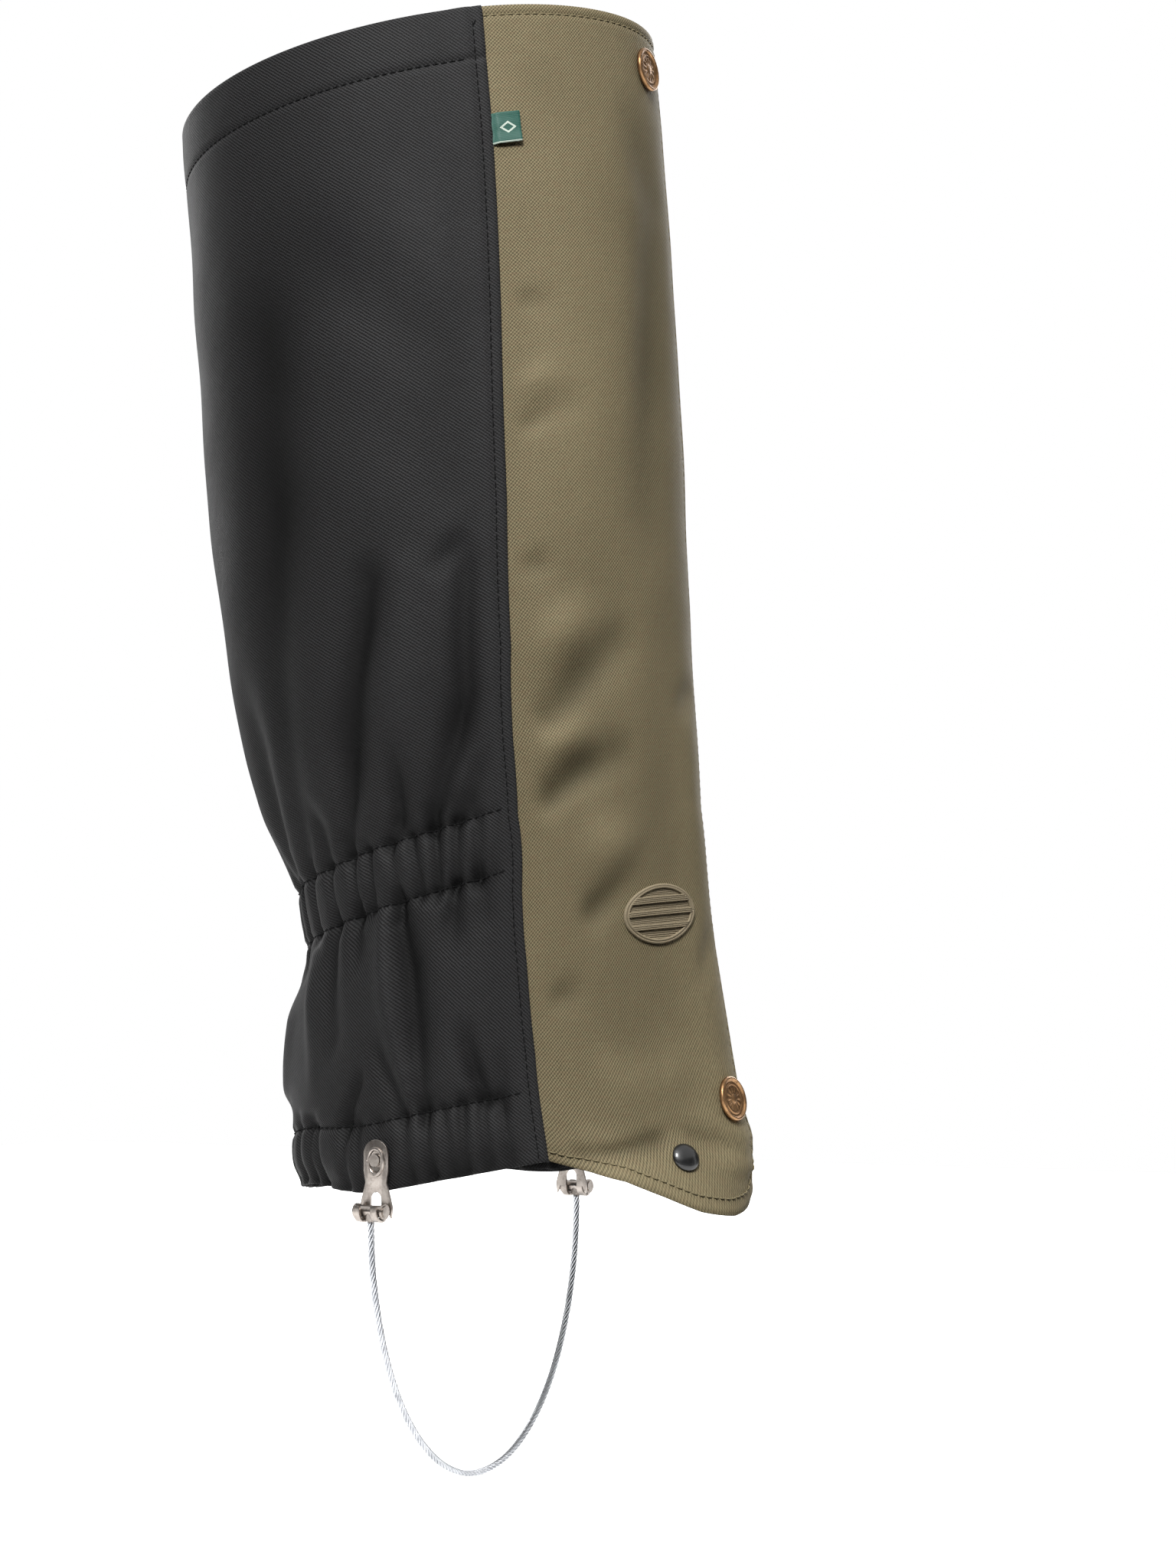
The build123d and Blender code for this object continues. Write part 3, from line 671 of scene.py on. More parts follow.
class Tree:
    """A material's node tree with short calls for the nodes used here."""

    def __init__(self, name, roughness, metallic=0.0, **sockets):
        self.material = bpy.data.materials.new(name)
        self.material.use_nodes = True
        self.nodes = self.material.node_tree.nodes
        self.links = self.material.node_tree.links
        self.shader = self.nodes["Principled BSDF"]
        for key, value in dict(sockets, Roughness=roughness, Metallic=metallic).items():
            self.shader.inputs[key.replace("_", " ")].default_value = value

    def plug(self, socket, value):
        if isinstance(value, Value):
            self.links.new(value.socket, socket)
        else:
            socket.default_value = value

    def node(self, kind, output, setting=None, **inputs):
        node = self.nodes.new("ShaderNode" + kind)
        if setting:
            setattr(node, *setting)
        for key, value in inputs.items():
            self.plug(node.inputs[key.replace("_", " ")], value)
        return Value(self, node.outputs[output])

    def noise(self, vector, scale, detail=3.0, roughness=0.5):
        return self.node("TexNoise", "Fac", Vector=vector, Scale=scale, Detail=detail, Roughness=roughness)

    def place(self):
        return self.node("NewGeometry", "Position")

    def map(self):
        return self.node("UVMap", "UV", ("uv_map", "cloth"))

    def along_and_up(self, flat):
        """The cloth map's two directions in millimetres."""
        return (self.node("SeparateXYZ", axis, Vector=flat) * 100.0 for axis in "XY")

    def stretched(self, vector, *scale):
        return self.node("Mapping", "Vector", Vector=vector, Scale=scale)

    def ramp(self, value, dark, light):
        node = self.nodes.new("ShaderNodeValToRGB")
        self.plug(node.inputs["Fac"], value)
        for element, position, colour in zip(node.color_ramp.elements, (0.15, 0.85), (dark, light)):
            element.position = position
            element.color = srgb(*colour)
        return Value(self, node.outputs["Color"])

    def mix(self, share, a, b):
        node = self.nodes.new("ShaderNodeMix")
        node.data_type = "RGBA"
        self.plug(node.inputs["Factor"], share)
        for key, value in (("A", a), ("B", b)):
            self.plug(node.inputs[key], value if isinstance(value, Value) else srgb(*value))
        return Value(self, node.outputs["Result"])

    def finish(self, colour, bump, rough=None):
        """The material, given its colour, its bump's height, distance and strength, and its roughness's range."""
        height, distance, strength = bump
        normal = self.node("Bump", "Normal", Height=height, Distance=distance, Strength=strength)
        self.plug(self.shader.inputs["Normal"], normal)
        self.plug(self.shader.inputs["Base Color"], colour)
        if rough:
            value, low, high = rough
            spread = self.node("MapRange", "Result", Value=value, To_Min=low, To_Max=high)
            self.plug(self.shader.inputs["Roughness"], spread)
        return self.material


def srgb(r, g, b):
    """Opaque linear colour of an sRGB colour given as 0 to 255."""
    return (*(((c / 255 + 0.055) / 1.055) ** 2.4 if c > 10 else c / 255 / 12.92 for c in (r, g, b)), 1.0)


def woven(name, dark, light, accent, warp, weft, twill, contrast, roughness, gloss, fold_shade):
    """Coated nylon: a checker of raised yarns that leans into diagonal ribs by the twill share (its sign is the
    way they lean), two yarn colours, uneven rows, painted shade in the fold valleys and a painted highlight with
    wear on the fold ridges."""
    tree = Tree(name, roughness, Sheen_Weight=0.02, Sheen_Roughness=0.5, Specular_IOR_Level=gloss)
    flat = tree.map()
    u, v = tree.along_and_up(flat)
    uneven = tree.noise(flat, 60.0, 2.0)
    ends = (u + uneven * 0.45) * (TURN / warp)
    rows = (v + tree.noise(flat, 47.0, 2.0) * 0.35) * (TURN / weft)
    cells = ends.sine() * rows.sine()
    ribs = (rows + ends * math.copysign(1.0, twill)).sine()
    height = ribs * (0.5 * abs(twill)) + cells * (0.5 * (1 - abs(twill))) + 0.5
    fine = tree.noise(flat, 900.0, 1.0)
    up_streaks = tree.noise(tree.stretched(flat, 6.0, 120.0, 1.0), 1.0, 3.0, 0.6)
    cross_streaks = tree.noise(tree.stretched(flat, 120.0, 6.0, 1.0), 1.0, 3.0, 0.6)
    grain = fine * 0.4 + (up_streaks + cross_streaks) * 0.3
    base = tree.ramp((height * contrast + grain * (1 - contrast)).clamped(), dark, light)
    yarn = tree.noise(tree.stretched(flat, 22.0, 85.0, 1.0), 1.0, 3.0, 0.7)
    base = tree.mix(((yarn - 0.42) * 3.2).clamped() * 0.4, base, accent)
    cloud = tree.noise(flat, 3.2, 4.0, 0.6)
    base = tree.mix(cloud * 0.22, base, dark)
    depth = tree.node("Attribute", "Fac", ("attribute_name", "fold"))
    # painted shade: the cloth goes towards its dark colour in the fold valleys, by the fold depth
    base = tree.mix((depth * -fold_shade).clamped(), base, dark)
    # lighter fold ridges in patches: a painted highlight on the ridges, with wear there too
    base = tree.mix((depth * 0.12).clamped() * uneven, base, light)
    puckers = tree.noise(flat, 13.0, 3.0) * 1.6
    bump = (height + fine * 0.3 + puckers, 0.00016, 0.8)
    return tree.finish(base, bump, (cloud, roughness - 0.08, roughness + 0.10))


def webbing(name, dark, light, rib, roughness):
    """Narrow knitted elastic or binding tape: ribs along its length."""
    tree = Tree(name, roughness, Sheen_Weight=0.25, Sheen_Roughness=0.5)
    flat = tree.map()
    u, v = tree.along_and_up(flat)
    rows = (v * (TURN / rib)).sine()
    cross = (u * (TURN / (0.8 * rib))).sine()
    height = rows + cross * 0.5
    fuzz = tree.noise(flat, 500.0, 2.0)
    colour = tree.mix((height * 0.2 + fuzz).clamped(), dark, light)
    return tree.finish(colour, (height, 0.00012, 0.7), (fuzz, roughness - 0.1, roughness + 0.1))


def tape(name, dark, light, looped):
    """Touch tape: upright hooks in rows, or a fuzzy loop pile."""
    tree = Tree(name, 0.8, Sheen_Weight=0.4 if looped else 0.1, Sheen_Roughness=0.4)
    flat = tree.map()
    cells, disorder = (90.0, 1.0) if looped else (70.0, 0.15)
    pile = tree.node("TexVoronoi", "Distance", Vector=flat, Scale=cells, Randomness=disorder)
    fuzz = tree.noise(flat, 400.0, 4.0, 0.7)
    height = (pile * -2.2 + 1.0).clamped() + fuzz * 0.5
    return tree.finish(tree.mix((height * 0.7).clamped(), dark, light), (height, 0.0005, 0.8))


def metal(name, bright, dull, dirt, roughness, wear=0.5):
    """Worn plated metal: cloudy tarnish, fine scratches and grime in patches."""
    tree = Tree(name, roughness, metallic=1.0)
    where = tree.place()
    cloud = tree.noise(where, 260.0, 5.0, 0.65)
    scratch = tree.noise(tree.stretched(where, 1.0, 1.0, 0.12), 3600.0, 2.0, 0.8)
    tarnish = ((cloud - (0.5 - 0.12 * wear)) * 3.0).clamped()
    grime = ((tree.noise(where, 700.0, 4.0) - 0.58) * (4.0 * wear)).clamped()
    colour = tree.mix(grime, tree.mix(tarnish, bright, dull), dirt)
    rough = ((cloud + scratch) * 0.5, roughness - 0.10, roughness + 0.20)
    return tree.finish(colour, (scratch + cloud, 0.00004, 0.5), rough)


def enamel(name, dark, light, roughness):
    """Glossy black lacquer with dust and small rubs."""
    tree = Tree(name, roughness, Coat_Weight=0.5, Coat_Roughness=0.12)
    dust = tree.noise(tree.place(), 900.0, 4.0, 0.7)
    rub = ((dust - 0.55) * 3.0).clamped()
    return tree.finish(tree.mix(rub, dark, light), (dust, 0.00003, 0.4), (dust, roughness, roughness + 0.3))


def thread_cloth(name, dark, light, roughness=0.75):
    """Twisted sewing thread or satin embroidery."""
    tree = Tree(name, roughness, Sheen_Weight=0.04, Sheen_Roughness=0.4, Specular_IOR_Level=0.2)
    twist = tree.noise(tree.place(), 2600.0, 2.0)
    rough = (twist, roughness - 0.1, roughness + 0.1)
    return tree.finish(tree.mix(twist, dark, light), (twist, 0.00008, 0.6), rough)


def label_cloth():
    """Satin-woven green label: pale selvedge along the bottom fold and a plain pale lozenge."""
    tree = Tree("label_satin", 0.5, Sheen_Weight=0.3, Sheen_Roughness=0.4)
    flat = tree.map()
    u, v = tree.along_and_up(flat)
    x = u - LABEL_CENTRE[0] * MM_PER_DEGREE
    y = v - LABEL_CENTRE[1]
    weave = ((v * (TURN / 0.42)).sine() * 0.22 + tree.noise(flat, 500.0, 2.0)).clamped()
    green = tree.mix(weave, (2, 52, 43), (14, 94, 78))
    reach = x.size() + y.size() * 1.3
    lozenge = (reach - 2.3).size().math("LESS_THAN", 0.5)
    pale = lozenge.math("MAXIMUM", y.math("LESS_THAN", -5.0))
    thread = tree.mix(weave, (150, 175, 160), (226, 232, 220))
    return tree.finish(tree.mix(pale, green, thread), (weave + pale * 0.6, 0.00010, 0.7), (weave, 0.42, 0.62))


LABEL_CENTRE = (-42.6, 240.0)
BLACK = woven(
    "black_nylon", (3, 3, 3), (57, 57, 58), (35, 31, 30),
    warp=1.25, weft=1.25, twill=0.65, contrast=0.9, roughness=0.55, gloss=0.12, fold_shade=0.26,
)
OLIVE = woven(
    "olive_nylon", (46, 43, 27), (162, 149, 115), (124, 100, 76),
    warp=1.25, weft=1.3, twill=-0.35, contrast=0.74, roughness=0.70, gloss=0.22, fold_shade=0.18,
)
ELASTIC = webbing("black_elastic", (14, 14, 15), (44, 44, 46), 1.6, 0.7)
BINDING = webbing("black_binding", (12, 12, 13), (38, 38, 40), 1.0, 0.75)
HOOK_TAPE = tape("hook_tape_black", (10, 10, 11), (52, 52, 54), False)
LOOP_TAPE = tape("loop_tape_black", (12, 12, 13), (48, 48, 50), True)
# near-black thread: its own black colour plus painted shade of the stitch holes it sits in
BLACK_THREAD_AND_STITCH_SHADE = thread_cloth("black_thread_and_stitch_shade", (2, 2, 2), (12, 12, 13), 0.9)
OLIVE_THREAD = thread_cloth("olive_thread", (98, 90, 66), (150, 138, 108))
COPPER = metal("aged_copper", (160, 124, 88), (106, 78, 52), (40, 28, 20), 0.36, wear=0.9)
BRASS = metal("snap_brass", (196, 168, 118), (160, 130, 84), (70, 55, 36), 0.36)
NICKEL = metal("nickel_plate", (172, 164, 157), (122, 114, 108), (58, 50, 46), 0.27, wear=0.6)
WIRE_STEEL = metal("bright_wire", (196, 198, 202), (146, 148, 152), (84, 84, 86), 0.24, wear=0.3)
LACQUER = enamel("black_lacquer", (8, 8, 9), (42, 40, 38), 0.26)
GREEN = label_cloth()
BADGE = thread_cloth("taupe_embroidery", (104, 93, 72), (172, 158, 132), 0.6)


# ---- cord: the wire rope of the stirrup
WIRE = 2.4
CABLE_ROUTE = [
    (-0.0672, 0.009, -0.1219),
    (-0.0674, 0.009, -0.1460),
    (-0.0500, 0.009, -0.1900),
    (-0.0185, 0.009, -0.2155),
]
CABLE_ROUTE += [(-x, y, z) for x, y, z in reversed(CABLE_ROUTE)]
STRAND = 0.40           # radius of one strand
LAY_LENGTH = 13.0       # along the rope for one turn of a strand


def route_points(route):
    """Points read from the route's NURBS spline."""
    curve = bpy.data.curves.new("route", "CURVE")
    curve.dimensions = "3D"
    curve.resolution_u = 40
    spline = curve.splines.new("NURBS")
    spline.points.add(len(route) - 1)
    for point, place in zip(spline.points, route):
        point.co = (*place, 1.0)
    spline.order_u = 3
    spline.use_endpoint_u = True
    holder = placed("route", curve)
    mesh = evaluated(holder)
    points = np.array([v.co for v in mesh.vertices])
    bpy.data.objects.remove(holder)
    bpy.data.meshes.remove(mesh)
    return points


def build_cable():
    line = resampled(route_points(CABLE_ROUTE) / MM, 0.8)
    side = np.array([0.0, 1.0, 0.0])      # the route lies in a plane across the boot
    other = np.cross(unit(np.gradient(line, axis=0)), side)
    lay_radius = WIRE / 2 - STRAND
    parts = [tube(line, STRAND, 8)]
    for k in range(6):
        phase = travelled(line) / LAY_LENGTH * TURN + k * math.pi / 3
        helix = line + lay_radius * (side * np.cos(phase)[:, None] + other * np.sin(phase)[:, None])
        parts.append(tube(helix, STRAND, 8))
    cable = fit(joined("stirrup_wire_rope", parts, WIRE_STEEL), "stirrup", "stirrup_cable")


# ---- camera, lights and floor
def look_at_gaiter():
    """The photograph's camera: low on the outer front side, a little over a metre away."""
    azimuth, pitch, yaw, roll = (math.radians(v) for v in (-57.24, 3.85, -1.78, -0.37))
    distance, height = 1.0398, -0.0401
    focal_pixels, frame_height = 3769.0, 2048.0
    sensor = 36.0
    lens = focal_pixels / frame_height * sensor
    data = having(bpy.data.cameras.new("camera"), sensor_fit="VERTICAL", sensor_height=sensor, lens=lens)
    camera = placed("camera", having(data, clip_start=0.01))
    place = Matrix.Translation((distance * math.sin(azimuth), -distance * math.cos(azimuth), height))
    turn = Matrix.Rotation(azimuth + yaw, 4, "Z") @ Matrix.Rotation(math.pi / 2 + pitch, 4, "X")
    camera.matrix_world = place @ turn @ Matrix.Rotation(roll, 4, "Z")
    bpy.context.scene.camera = camera


def build_stage():
    half, below = 1.6, cad_low.z - 0.0004
    mesh = bpy.data.meshes.new("floor")
    corners = [(x * half, y * half, below) for x, y in ((-1, -1), (1, -1), (1, 1), (-1, 1))]
    mesh.from_pydata(corners, [], [(0, 1, 2, 3)])
    white = (1.0, 1.0, 1.0, 1.0)
    tree = Tree("pale_floor", 0.85, Emission_Color=white, Emission_Strength=0.5)
    tree.plug(tree.shader.inputs["Base Color"], tree.noise(tree.place(), 30.0, 3.0) * 0.03 + 0.93)
    mesh.materials.append(tree.material)
    floor = placed("floor", mesh)
    floor.visible_diffuse = False
    world = bpy.data.worlds.new("studio")
    bpy.context.scene.world = world
    world.use_nodes = True
    background = world.node_tree.nodes["Background"].inputs
    background["Color"].default_value = white
    background["Strength"].default_value = 1.0
    world.cycles_visibility.diffuse = False
    world.cycles_visibility.glossy = False
    target = (0, 0, 0.08)
    for name, place, aim, size, size_y, power in (
        ("ceiling", (0, 0, 2.6), (0, 0.001, 0), 8.0, 8.0, 188.0),
        ("key", (-1.0, -0.42, 1.1), target, 0.4, 0.46, 26.5),
        ("front_fill", (0.9, -1.4, 0.3), target, 0.4, 1.2, 1.4),
        ("inner_fill", (1.75, 0.2, 0.8), target, 0.9, 1.2, 26.0),
        ("back_fill", (0.6, 1.7, 0.8), target, 0.9, 1.2, 11.0),
    ):
        data = bpy.data.lights.new(name, "AREA")
        light = placed(name, having(data, shape="RECTANGLE", size=size, size_y=size_y, energy=power))
        light.location = place
        light.rotation_euler = (Vector(aim) - Vector(place)).to_track_quat("-Z", "Y").to_euler()
    bpy.context.scene.view_settings.view_transform = "Standard"


# ---- black rear panel
def rear_grid(low, high, inset=0.0, lines=()):
    """Angles and heights of a layer on the rear panel, its ends inset by some degrees from the seams."""
    heights = spaced(low, high, STEP, lines)[:, None]
    columns = int(360 * MM_PER_DEGREE * 0.7 / STEP)
    share = np.linspace(0, 1, columns)
    seam_share = 10.0 / 254
    edge = np.linspace(0, seam_share, 14)
    inner = share[np.abs(share - 0.5) < 0.5 - seam_share - 0.003]
    share = np.concatenate([edge, inner, 1 - edge[::-1]])
    start = seam_at(heights) + inset
    return start + share * (360 - 2 * start), heights


def strip_grid(low, high, columns, start, end):
    """Angles and heights of a strip between two edges that are functions of the height."""
    heights = spaced(low, high, 2.0)[:, None]
    share = np.linspace(0, 1, columns)
    return start(heights) + share * (end(heights) - start(heights)), heights


def build_rear():
    lines = (ANKLE_TOP, ANKLE_LOW, HEM_LINE, RIM_LINE)
    angle, h = rear_grid(HEM, RIM, lines=lines)
    panel = cloth("rear_panel_cloth", angle, h, 0.0, CLOTH, rear_relief(angle, h), BLACK)
    fit(panel, "sleeve", "rear_panel")
    seams = []
    for side in (-1, 1):
        heights = np.arange(HEM + 1, RIM - 1, 1.0)
        seams += stitch_line(side * (seam_at(heights) + SEAM_INSET), heights, rear_relief)
        tack = np.linspace(0, 1, 12)
        seams += stitch_line(side * (seam_at(RIM) + SEAM_INSET - 1.6 * tack), RIM - 7 + 5 * tack, rear_relief)
    for line in lines:
        seam = seam_at(line)
        seams += stitch_line(np.arange(seam + 3, 360 - seam - 3, 0.5), line, rear_relief)
    stitches = joined("rear_panel_stitching", seams, BLACK_THREAD_AND_STITCH_SHADE)
    stitches.parent = panel
    under = -(CLOTH + SEWN)
    casing = under - ELASTIC_THICK - SEWN
    elastic = ("elastic", ELASTIC)
    black = ("black_cloth", BLACK)
    # piece, node, slot and material, lowest and highest place, top, thickness, flat size
    for name, node, (slot, material), low, high, top, thickness, flat in (
        ("ankle_elastic_band", "ankle_elastic", elastic, -10, 10, under, ELASTIC_THICK, None),
        ("hem_elastic_band", "hem_elastic", elastic, -108, -88, under, ELASTIC_THICK, None),
        ("ankle_casing_cloth", "ankle_elastic_casing", black, -12, 12, casing, 0.5, (0.35, 0.024)),
        ("hem_facing_cloth", "hem_facing", black, -109, -85, casing, 0.5, (0.35, 0.024)),
        ("rim_facing_cloth", "rim_facing", black, 265, 284.5, under, 0.6, (0.40, 0.02)),
    ):
        angle, h = rear_grid(low, high, 4)
        relief = np.minimum(rear_relief(angle, h), 1.0)
        layer = cloth(name, angle, h, top, thickness, relief, material)
        fit(layer, "sleeve", node)
    share = np.linspace(0, 1, 6)
    for side, name, start, end in ((1, "inner_seam_binding", 1.0, 2.8), (-1, "outer_seam_binding", 2.8, 1.0)):
        angle, h = strip_grid(
            HEM + 0.5, RIM - 24, 6,
            lambda h: side * (seam_at(h) + start), lambda h: side * (seam_at(h) + end),
        )
        fold = 0.075 * np.sin(h / 1.9) + 0.12 * np.cos(share * TURN)
        fit(cloth(name + "_tape", angle, h, under, 0.5, fold, BINDING), "sleeve", name)


# ---- olive front
# how far the flap's hem is drawn up, by the distance from its free edge
HEM_RISE = table("0 3, 15 2.6, 26 1.6, 42 1.6, 55 2.8, 68 3.6, 80 2.4, 92 0.8, 100 0")


def hem_height(from_edge, inset=0.0):
    """Lower edge of the flap, or a line inset from it: rounded at the free corner, drawn up beside the lace hook."""
    r = TONGUE_CORNER
    inside = np.clip(r - from_edge, 0, r - inset)
    return HEM + r - np.sqrt((r - inset) ** 2 - inside * inside) + linear(HEM_RISE, from_edge)


def flap_grid():
    base = spaced(HEM, RIM, STEP, (RIM_STITCH,))[:, None]
    turn = np.linspace(0, math.pi / 2, 16)
    corner = TONGUE_CORNER * (1 - np.sin(turn))
    wide = 100.0
    body = np.linspace(wide, TONGUE_CORNER, int((wide - TONGUE_CORNER) / STEP) + 1)[:-1]
    from_edge = np.concatenate([body, corner])
    foot = hem_height(from_edge)
    reach = 34.0
    low = (base - HEM) / reach
    h = np.where(low < 1, foot + (HEM + reach - foot) * low, base)
    edge = linear(FLAP_EDGE, h)
    start = -(seam_at(h) + 3.4)
    share = from_edge / wide
    near = from_edge / MM_PER_DEGREE
    angle = edge - near - (edge - start - wide / MM_PER_DEGREE) * ease((share - 0.14) / 0.86)
    return angle, h


def build_flap():
    angle, h = flap_grid()
    from_edge = (linear(FLAP_EDGE, h) - angle) * MM_PER_DEGREE
    foot = -0.3 * pinch(h, hem_height(from_edge, HEM_STITCH), 0.8)
    flap = cloth("flap_cloth", angle, h, 0.0, CLOTH, flap_relief(angle, h) + foot, OLIVE)
    fit(flap, "bend", "front_flap")
    heights = np.arange(HEM + TONGUE_CORNER + 3, RIM - 1.5, 1.0)
    seams = stitch_line(linear(FLAP_EDGE, heights) - EDGE_STITCH, heights, flap_relief)
    around = np.arange(-seam_at(RIM), linear(FLAP_EDGE, RIM) - 1, 0.5)
    seams += stitch_line(around, RIM_STITCH, flap_relief)
    turn = np.linspace(math.pi / 2, 0, 20)
    corner_edge = TONGUE_CORNER - (TONGUE_CORNER - HEM_STITCH) * np.sin(turn)
    along = np.concatenate([corner_edge, np.arange(TONGUE_CORNER + 0.6, 98.0, 0.6)])
    line_h = hem_height(along, HEM_STITCH)
    seams += stitch_line(linear(FLAP_EDGE, line_h) - along / MM_PER_DEGREE, line_h, flap_relief)
    fit(joined("flap_stitching", seams, OLIVE_THREAD), "bend")


TAPE_LOW, TAPE_HIGH = -58.0, 248.0
TAPE_START, TAPE_END = -4.0, 13.0
TAPE_STITCH = (-3.0, 12.0, -56.5, 246.5)      # first and last angle, lowest and highest line
TAPE_FOLLOWS = {"flap": tape_relief, "sleeve": no_relief}


def build_tapes():
    """The facing and the hook tape behind the flap's free edge, and the loop tape on the underlap."""
    tapes = (TAPE_LOW, TAPE_HIGH, 20, lambda h: TAPE_START + 0 * h, lambda h: TAPE_END + 0 * h)
    facing = (-92.0, 279.0, 20, lambda h: -8.0 + 0 * h, lambda h: linear(FLAP_EDGE, h) - 1.0)
    for name, node, slot, material, grid, top, thickness, body, flat in (
        ("flap_facing_cloth", "flap_facing", "black_cloth", BLACK, facing, FACING_TOP, 0.5, "flap", (0.038, 0.371)),
        ("hook_tape_strip", "hook_tape", "hook_tape", HOOK_TAPE, tapes, HOOK_TAPE_TOP, TAPE_THICK, "flap", None),
        ("loop_tape_strip", "loop_tape", "loop_tape", LOOP_TAPE, tapes, LOOP_TAPE_TOP, TAPE_THICK, "sleeve", None),
    ):
        angle, h = strip_grid(*grid)
        strip = cloth(name, angle, h, top, thickness, TAPE_FOLLOWS[body](angle, h), material)
        fit(strip, body, node)


def build_tape_stitches():
    first, last, low, high = TAPE_STITCH
    """Thread round the hook tape's inner face and the loop tape's outer face."""
    for name, top, out, body in (
        ("hook_tape_stitching", HOOK_TAPE_TOP - TAPE_THICK, -1.0, "flap"),
        ("loop_tape_stitching", LOOP_TAPE_TOP, 1.0, "sleeve"),
    ):
        relief = TAPE_FOLLOWS[body]
        outline = []
        for angle in (first, last):
            outline += stitch_line(angle, np.arange(low, high + 0.1, 1.0), relief, top, out)
        for h in (low, high):
            outline += stitch_line(np.arange(first, last + 0.1, 0.5), h, relief, top, out)
        fit(joined(name, outline, BLACK_THREAD_AND_STITCH_SHADE), body)


def build_underlap():
    def free_edge(h):
        return linear(UNDERLAP_FREE_EDGE, h)

    low = -98.0
    angle, h = strip_grid(low, RIM, 60, free_edge, lambda h: seam_at(h) + 3.4)
    underlap = cloth("underlap_cloth", angle, h, underlap_top(angle), CLOTH, underlap_relief(angle, h), OLIVE)
    fit(underlap, "sleeve", "underlap_panel")
    heights = np.arange(low + 3, RIM_STITCH, 1.0)
    hems = stitch_line(free_edge(heights) + EDGE_STITCH, heights, underlap_face)
    for line in (low + 3, RIM_STITCH):
        around = np.arange(free_edge(line) + 2.5, seam_at(line) - 1, 0.5)
        hems += stitch_line(around, line, underlap_face)
    fit(joined("underlap_stitching", hems, OLIVE_THREAD), "sleeve")


# ---- trims
def build_label():
    """The folded label sewn into the outer seam, which stands off the flap and curls."""
    start, end, low, high = -46.6, -39.6, 234.6, 245.4
    h = np.linspace(low, high, 22)[:, None]
    share = np.linspace(0, 1, 18)
    angle = start + share * (end - start) + 0 * h
    curl = 0.55 * share**2 * (0.4 + 0.6 * np.cos((h - low) / (high - low) * 5.0)) + 0.10 * np.sin(h * 1.1)
    lift = 1.55 * (1 - ease((0.28 - share) / 0.28) * 0.62)
    fit(cloth("side_label_tab", angle, h, lift, 0.55, curl, GREEN), "bend", "side_label")


BADGE_CENTRE = (-11.5, -34.5)
BADGE_HALF = (18.6, 8.8)


def build_badge():
    """A raised embroidered oval with a corded border and three plain bars."""
    parts = []
    a0, h0 = BADGE_CENTRE
    half_w, half_h = BADGE_HALF

    def on_flap(x, y, lift):
        angle = a0 + np.asarray(x) / MM_PER_DEGREE
        h = h0 + np.asarray(y)
        return surface(angle, h, lift + flap_relief(angle, h))

    turn = np.linspace(0, TURN, 121)
    for radius, share, lift in ((0.62, 1.0, 0.35), (0.5, 0.93, 0.55)):
        ring = on_flap(half_w * share * np.cos(turn), half_h * share * np.sin(turn), lift)
        parts.append(tube(ring, radius, 8))
    for y in np.arange(-half_h * 0.86, half_h * 0.87, 0.55):
        reach = half_w * 0.93 * math.sqrt(max(0.0, 1 - (y / (half_h * 0.93)) ** 2))
        if reach < 1.5:
            continue
        x = np.linspace(-reach, reach, max(6, int(reach * 2)))
        on_bar = min(abs(y - c) for c in (-4.2, 0.0, 4.2)) < 0.95
        parts.append(tube(on_flap(x, np.full(len(x), y), 0.85 if on_bar else 0.15), 0.34, 6))
    fit(joined("flap_badge_patch", parts, BADGE), "flap", "flap_badge")


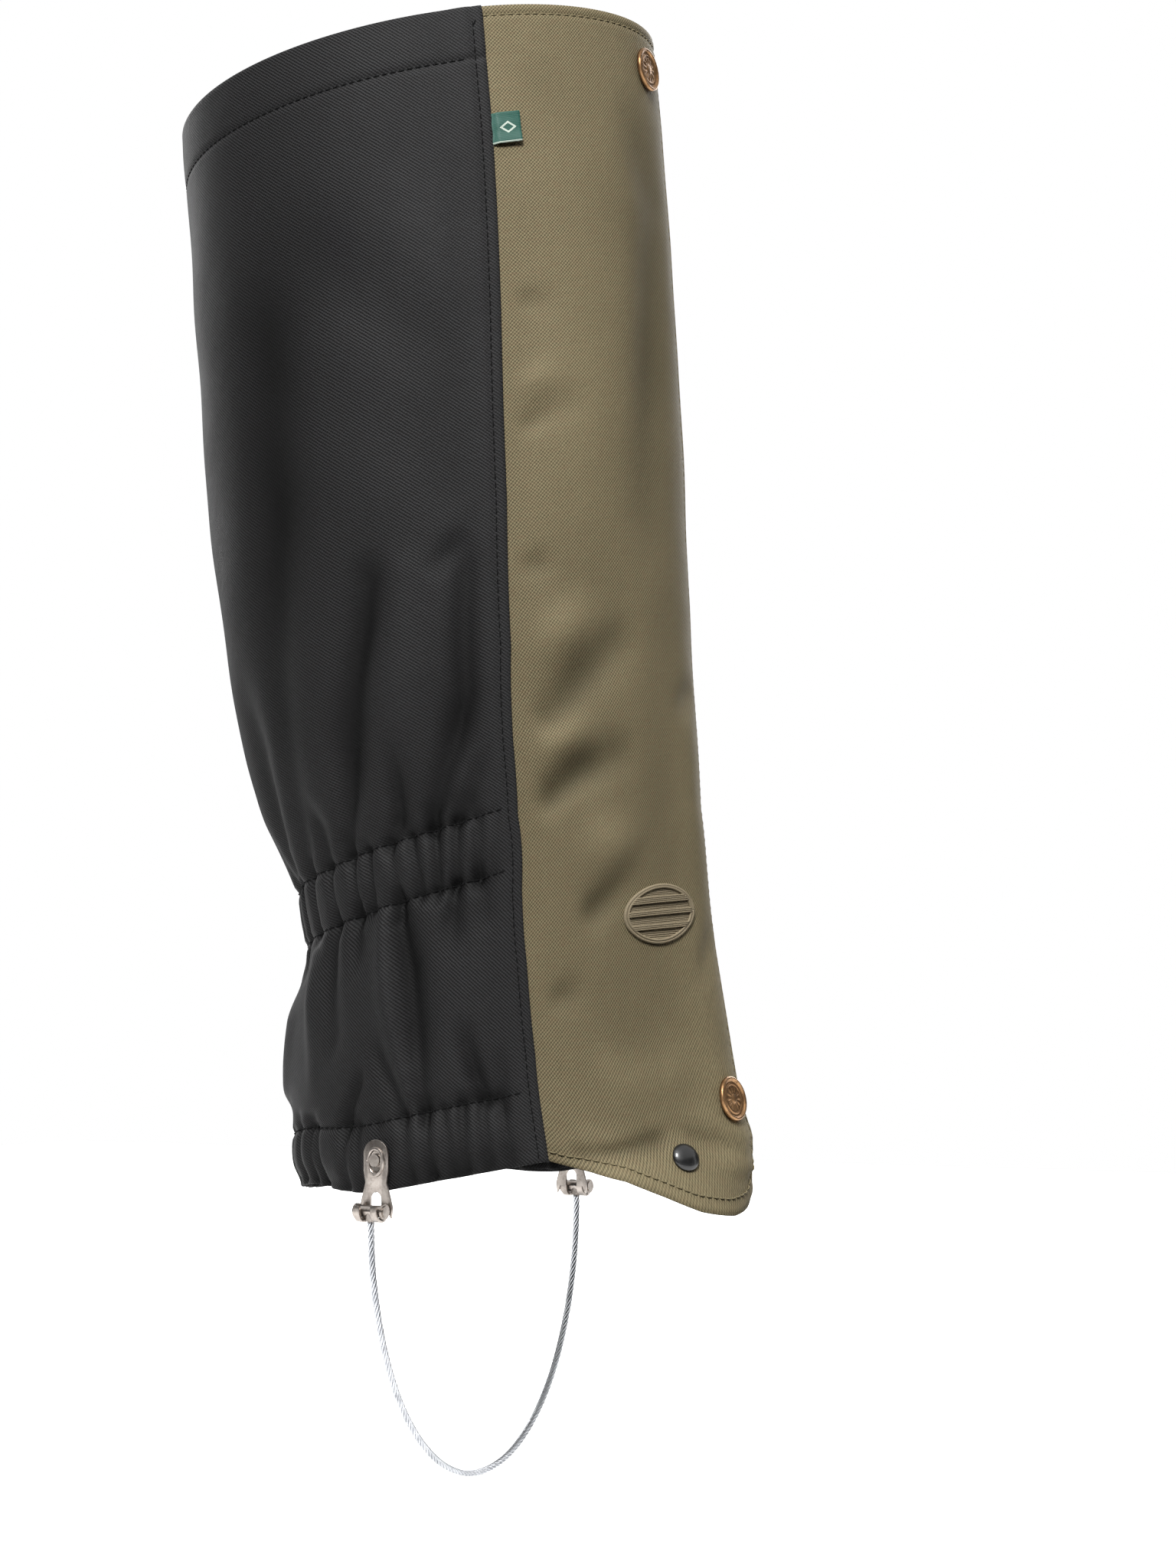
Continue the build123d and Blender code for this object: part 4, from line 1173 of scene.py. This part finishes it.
# ---- snaps, rivets and hooks
# radius and height of the turned pieces
CAP_PROFILE = table("""
0 -2.8, 2.2 -2.8, 2.2 0.25, 7 0.25, 7.55 0.35, 7.78 0.7, 7.8 1.2, 7.68 1.65, 7.4 1.95, 7.05 2.05, 6.75 1.95,
6.5 1.7, 6.3 1.42, 6 1.32, 5.6 1.34, 5.35 1.42, 5.15 1.58, 4.95 1.6, 4.75 1.46, 4.5 1.4, 4.1 1.43, 3.6 1.47,
3 1.5, 2.4 1.52, 1.9 1.52, 1.6 1.62, 1.3 1.74, 0.8 1.8, 0.3 1.82, 0 1.82
""")
SOCKET_PROFILE = table("""
0 -2.3, 5.6 -2.25, 6.1 -2.4, 6.3 -2.75, 6.3 -3.6, 6.15 -3.95, 5.8 -4.1, 5.3 -4.05, 5 -3.8, 4.7 -3.75,
4.4 -3.9, 4.2 -3.75, 4.1 -3.4, 4.1 -3, 3.9 -2.85, 0 -2.85
""")
RIVET_PROFILE = table("""
0 -2.6, 1.5 -2.6, 1.5 0.12, 4.6 0.12, 4.95 0.2, 5.05 0.42, 5 0.7, 4.8 1, 4.4 1.35, 3.8 1.72, 3 2.06,
2.2 2.26, 1.4 2.37, 0.7 2.42, 0 2.43
""")


def rays(radius, turn):
    """Short rays round the middle of a snap cap."""
    within = ease((radius - 2.0) / 0.5) * ease((4.4 - radius) / 0.5)
    return 0.13 * within * np.cos(turn * 12)


def build_hardware():
    for which, angle_and_height in (("upper", UPPER_SNAP), ("lower", LOWER_SNAP)):
        place = spot(*angle_and_height)
        cap, socket = f"{which}_snap_cap", f"{which}_snap_socket"
        fit(lathe(cap + "_turned", place, CAP_PROFILE, COPPER, rays), "flap", cap)
        fit(lathe(socket + "_turned", place, SOCKET_PROFILE, BRASS), "flap", socket)
    place = spot(*LACE_RIVET, lift=0.2)
    fit(lathe("lace_hook_cap_domed", place, RIVET_PROFILE, LACQUER, sides=48), "flap", "lace_hook_cap")
    for node, width, body in (
        ("outer_hook_plate", 0.22, "stirrup"),
        ("inner_hook_plate", 0.22, "stirrup"),
        ("lace_hook", 0.15, "flap"),
    ):
        fit(bevelled(node + "_stamped", node, width, NICKEL), body, node)
    turn = np.linspace(0, TURN, 61)
    for side, name in ((-1, "outer_hook_eyelet"), (1, "inner_hook_eyelet")):
        across = side * PLATE_FACE + 0 * turn
        ring = np.stack([across, HOOK_Y + 3.0 * np.cos(turn), HOOK_Z - 0.4 + 4.3 * np.sin(turn)], -1)
        fit(joined(name, [tube(ring, 0.75, 10)], NICKEL), "stirrup")
    for node, obj in nodes.items():
        if not obj.hide_render:
            obj.data.materials.clear()
            obj.data.materials.append(BRASS if "snap" in node else NICKEL)


look_at_gaiter()
build_stage()
build_cable()
build_rear()
build_flap()
build_tapes()
build_underlap()
build_tape_stitches()
build_label()
build_badge()
build_hardware()
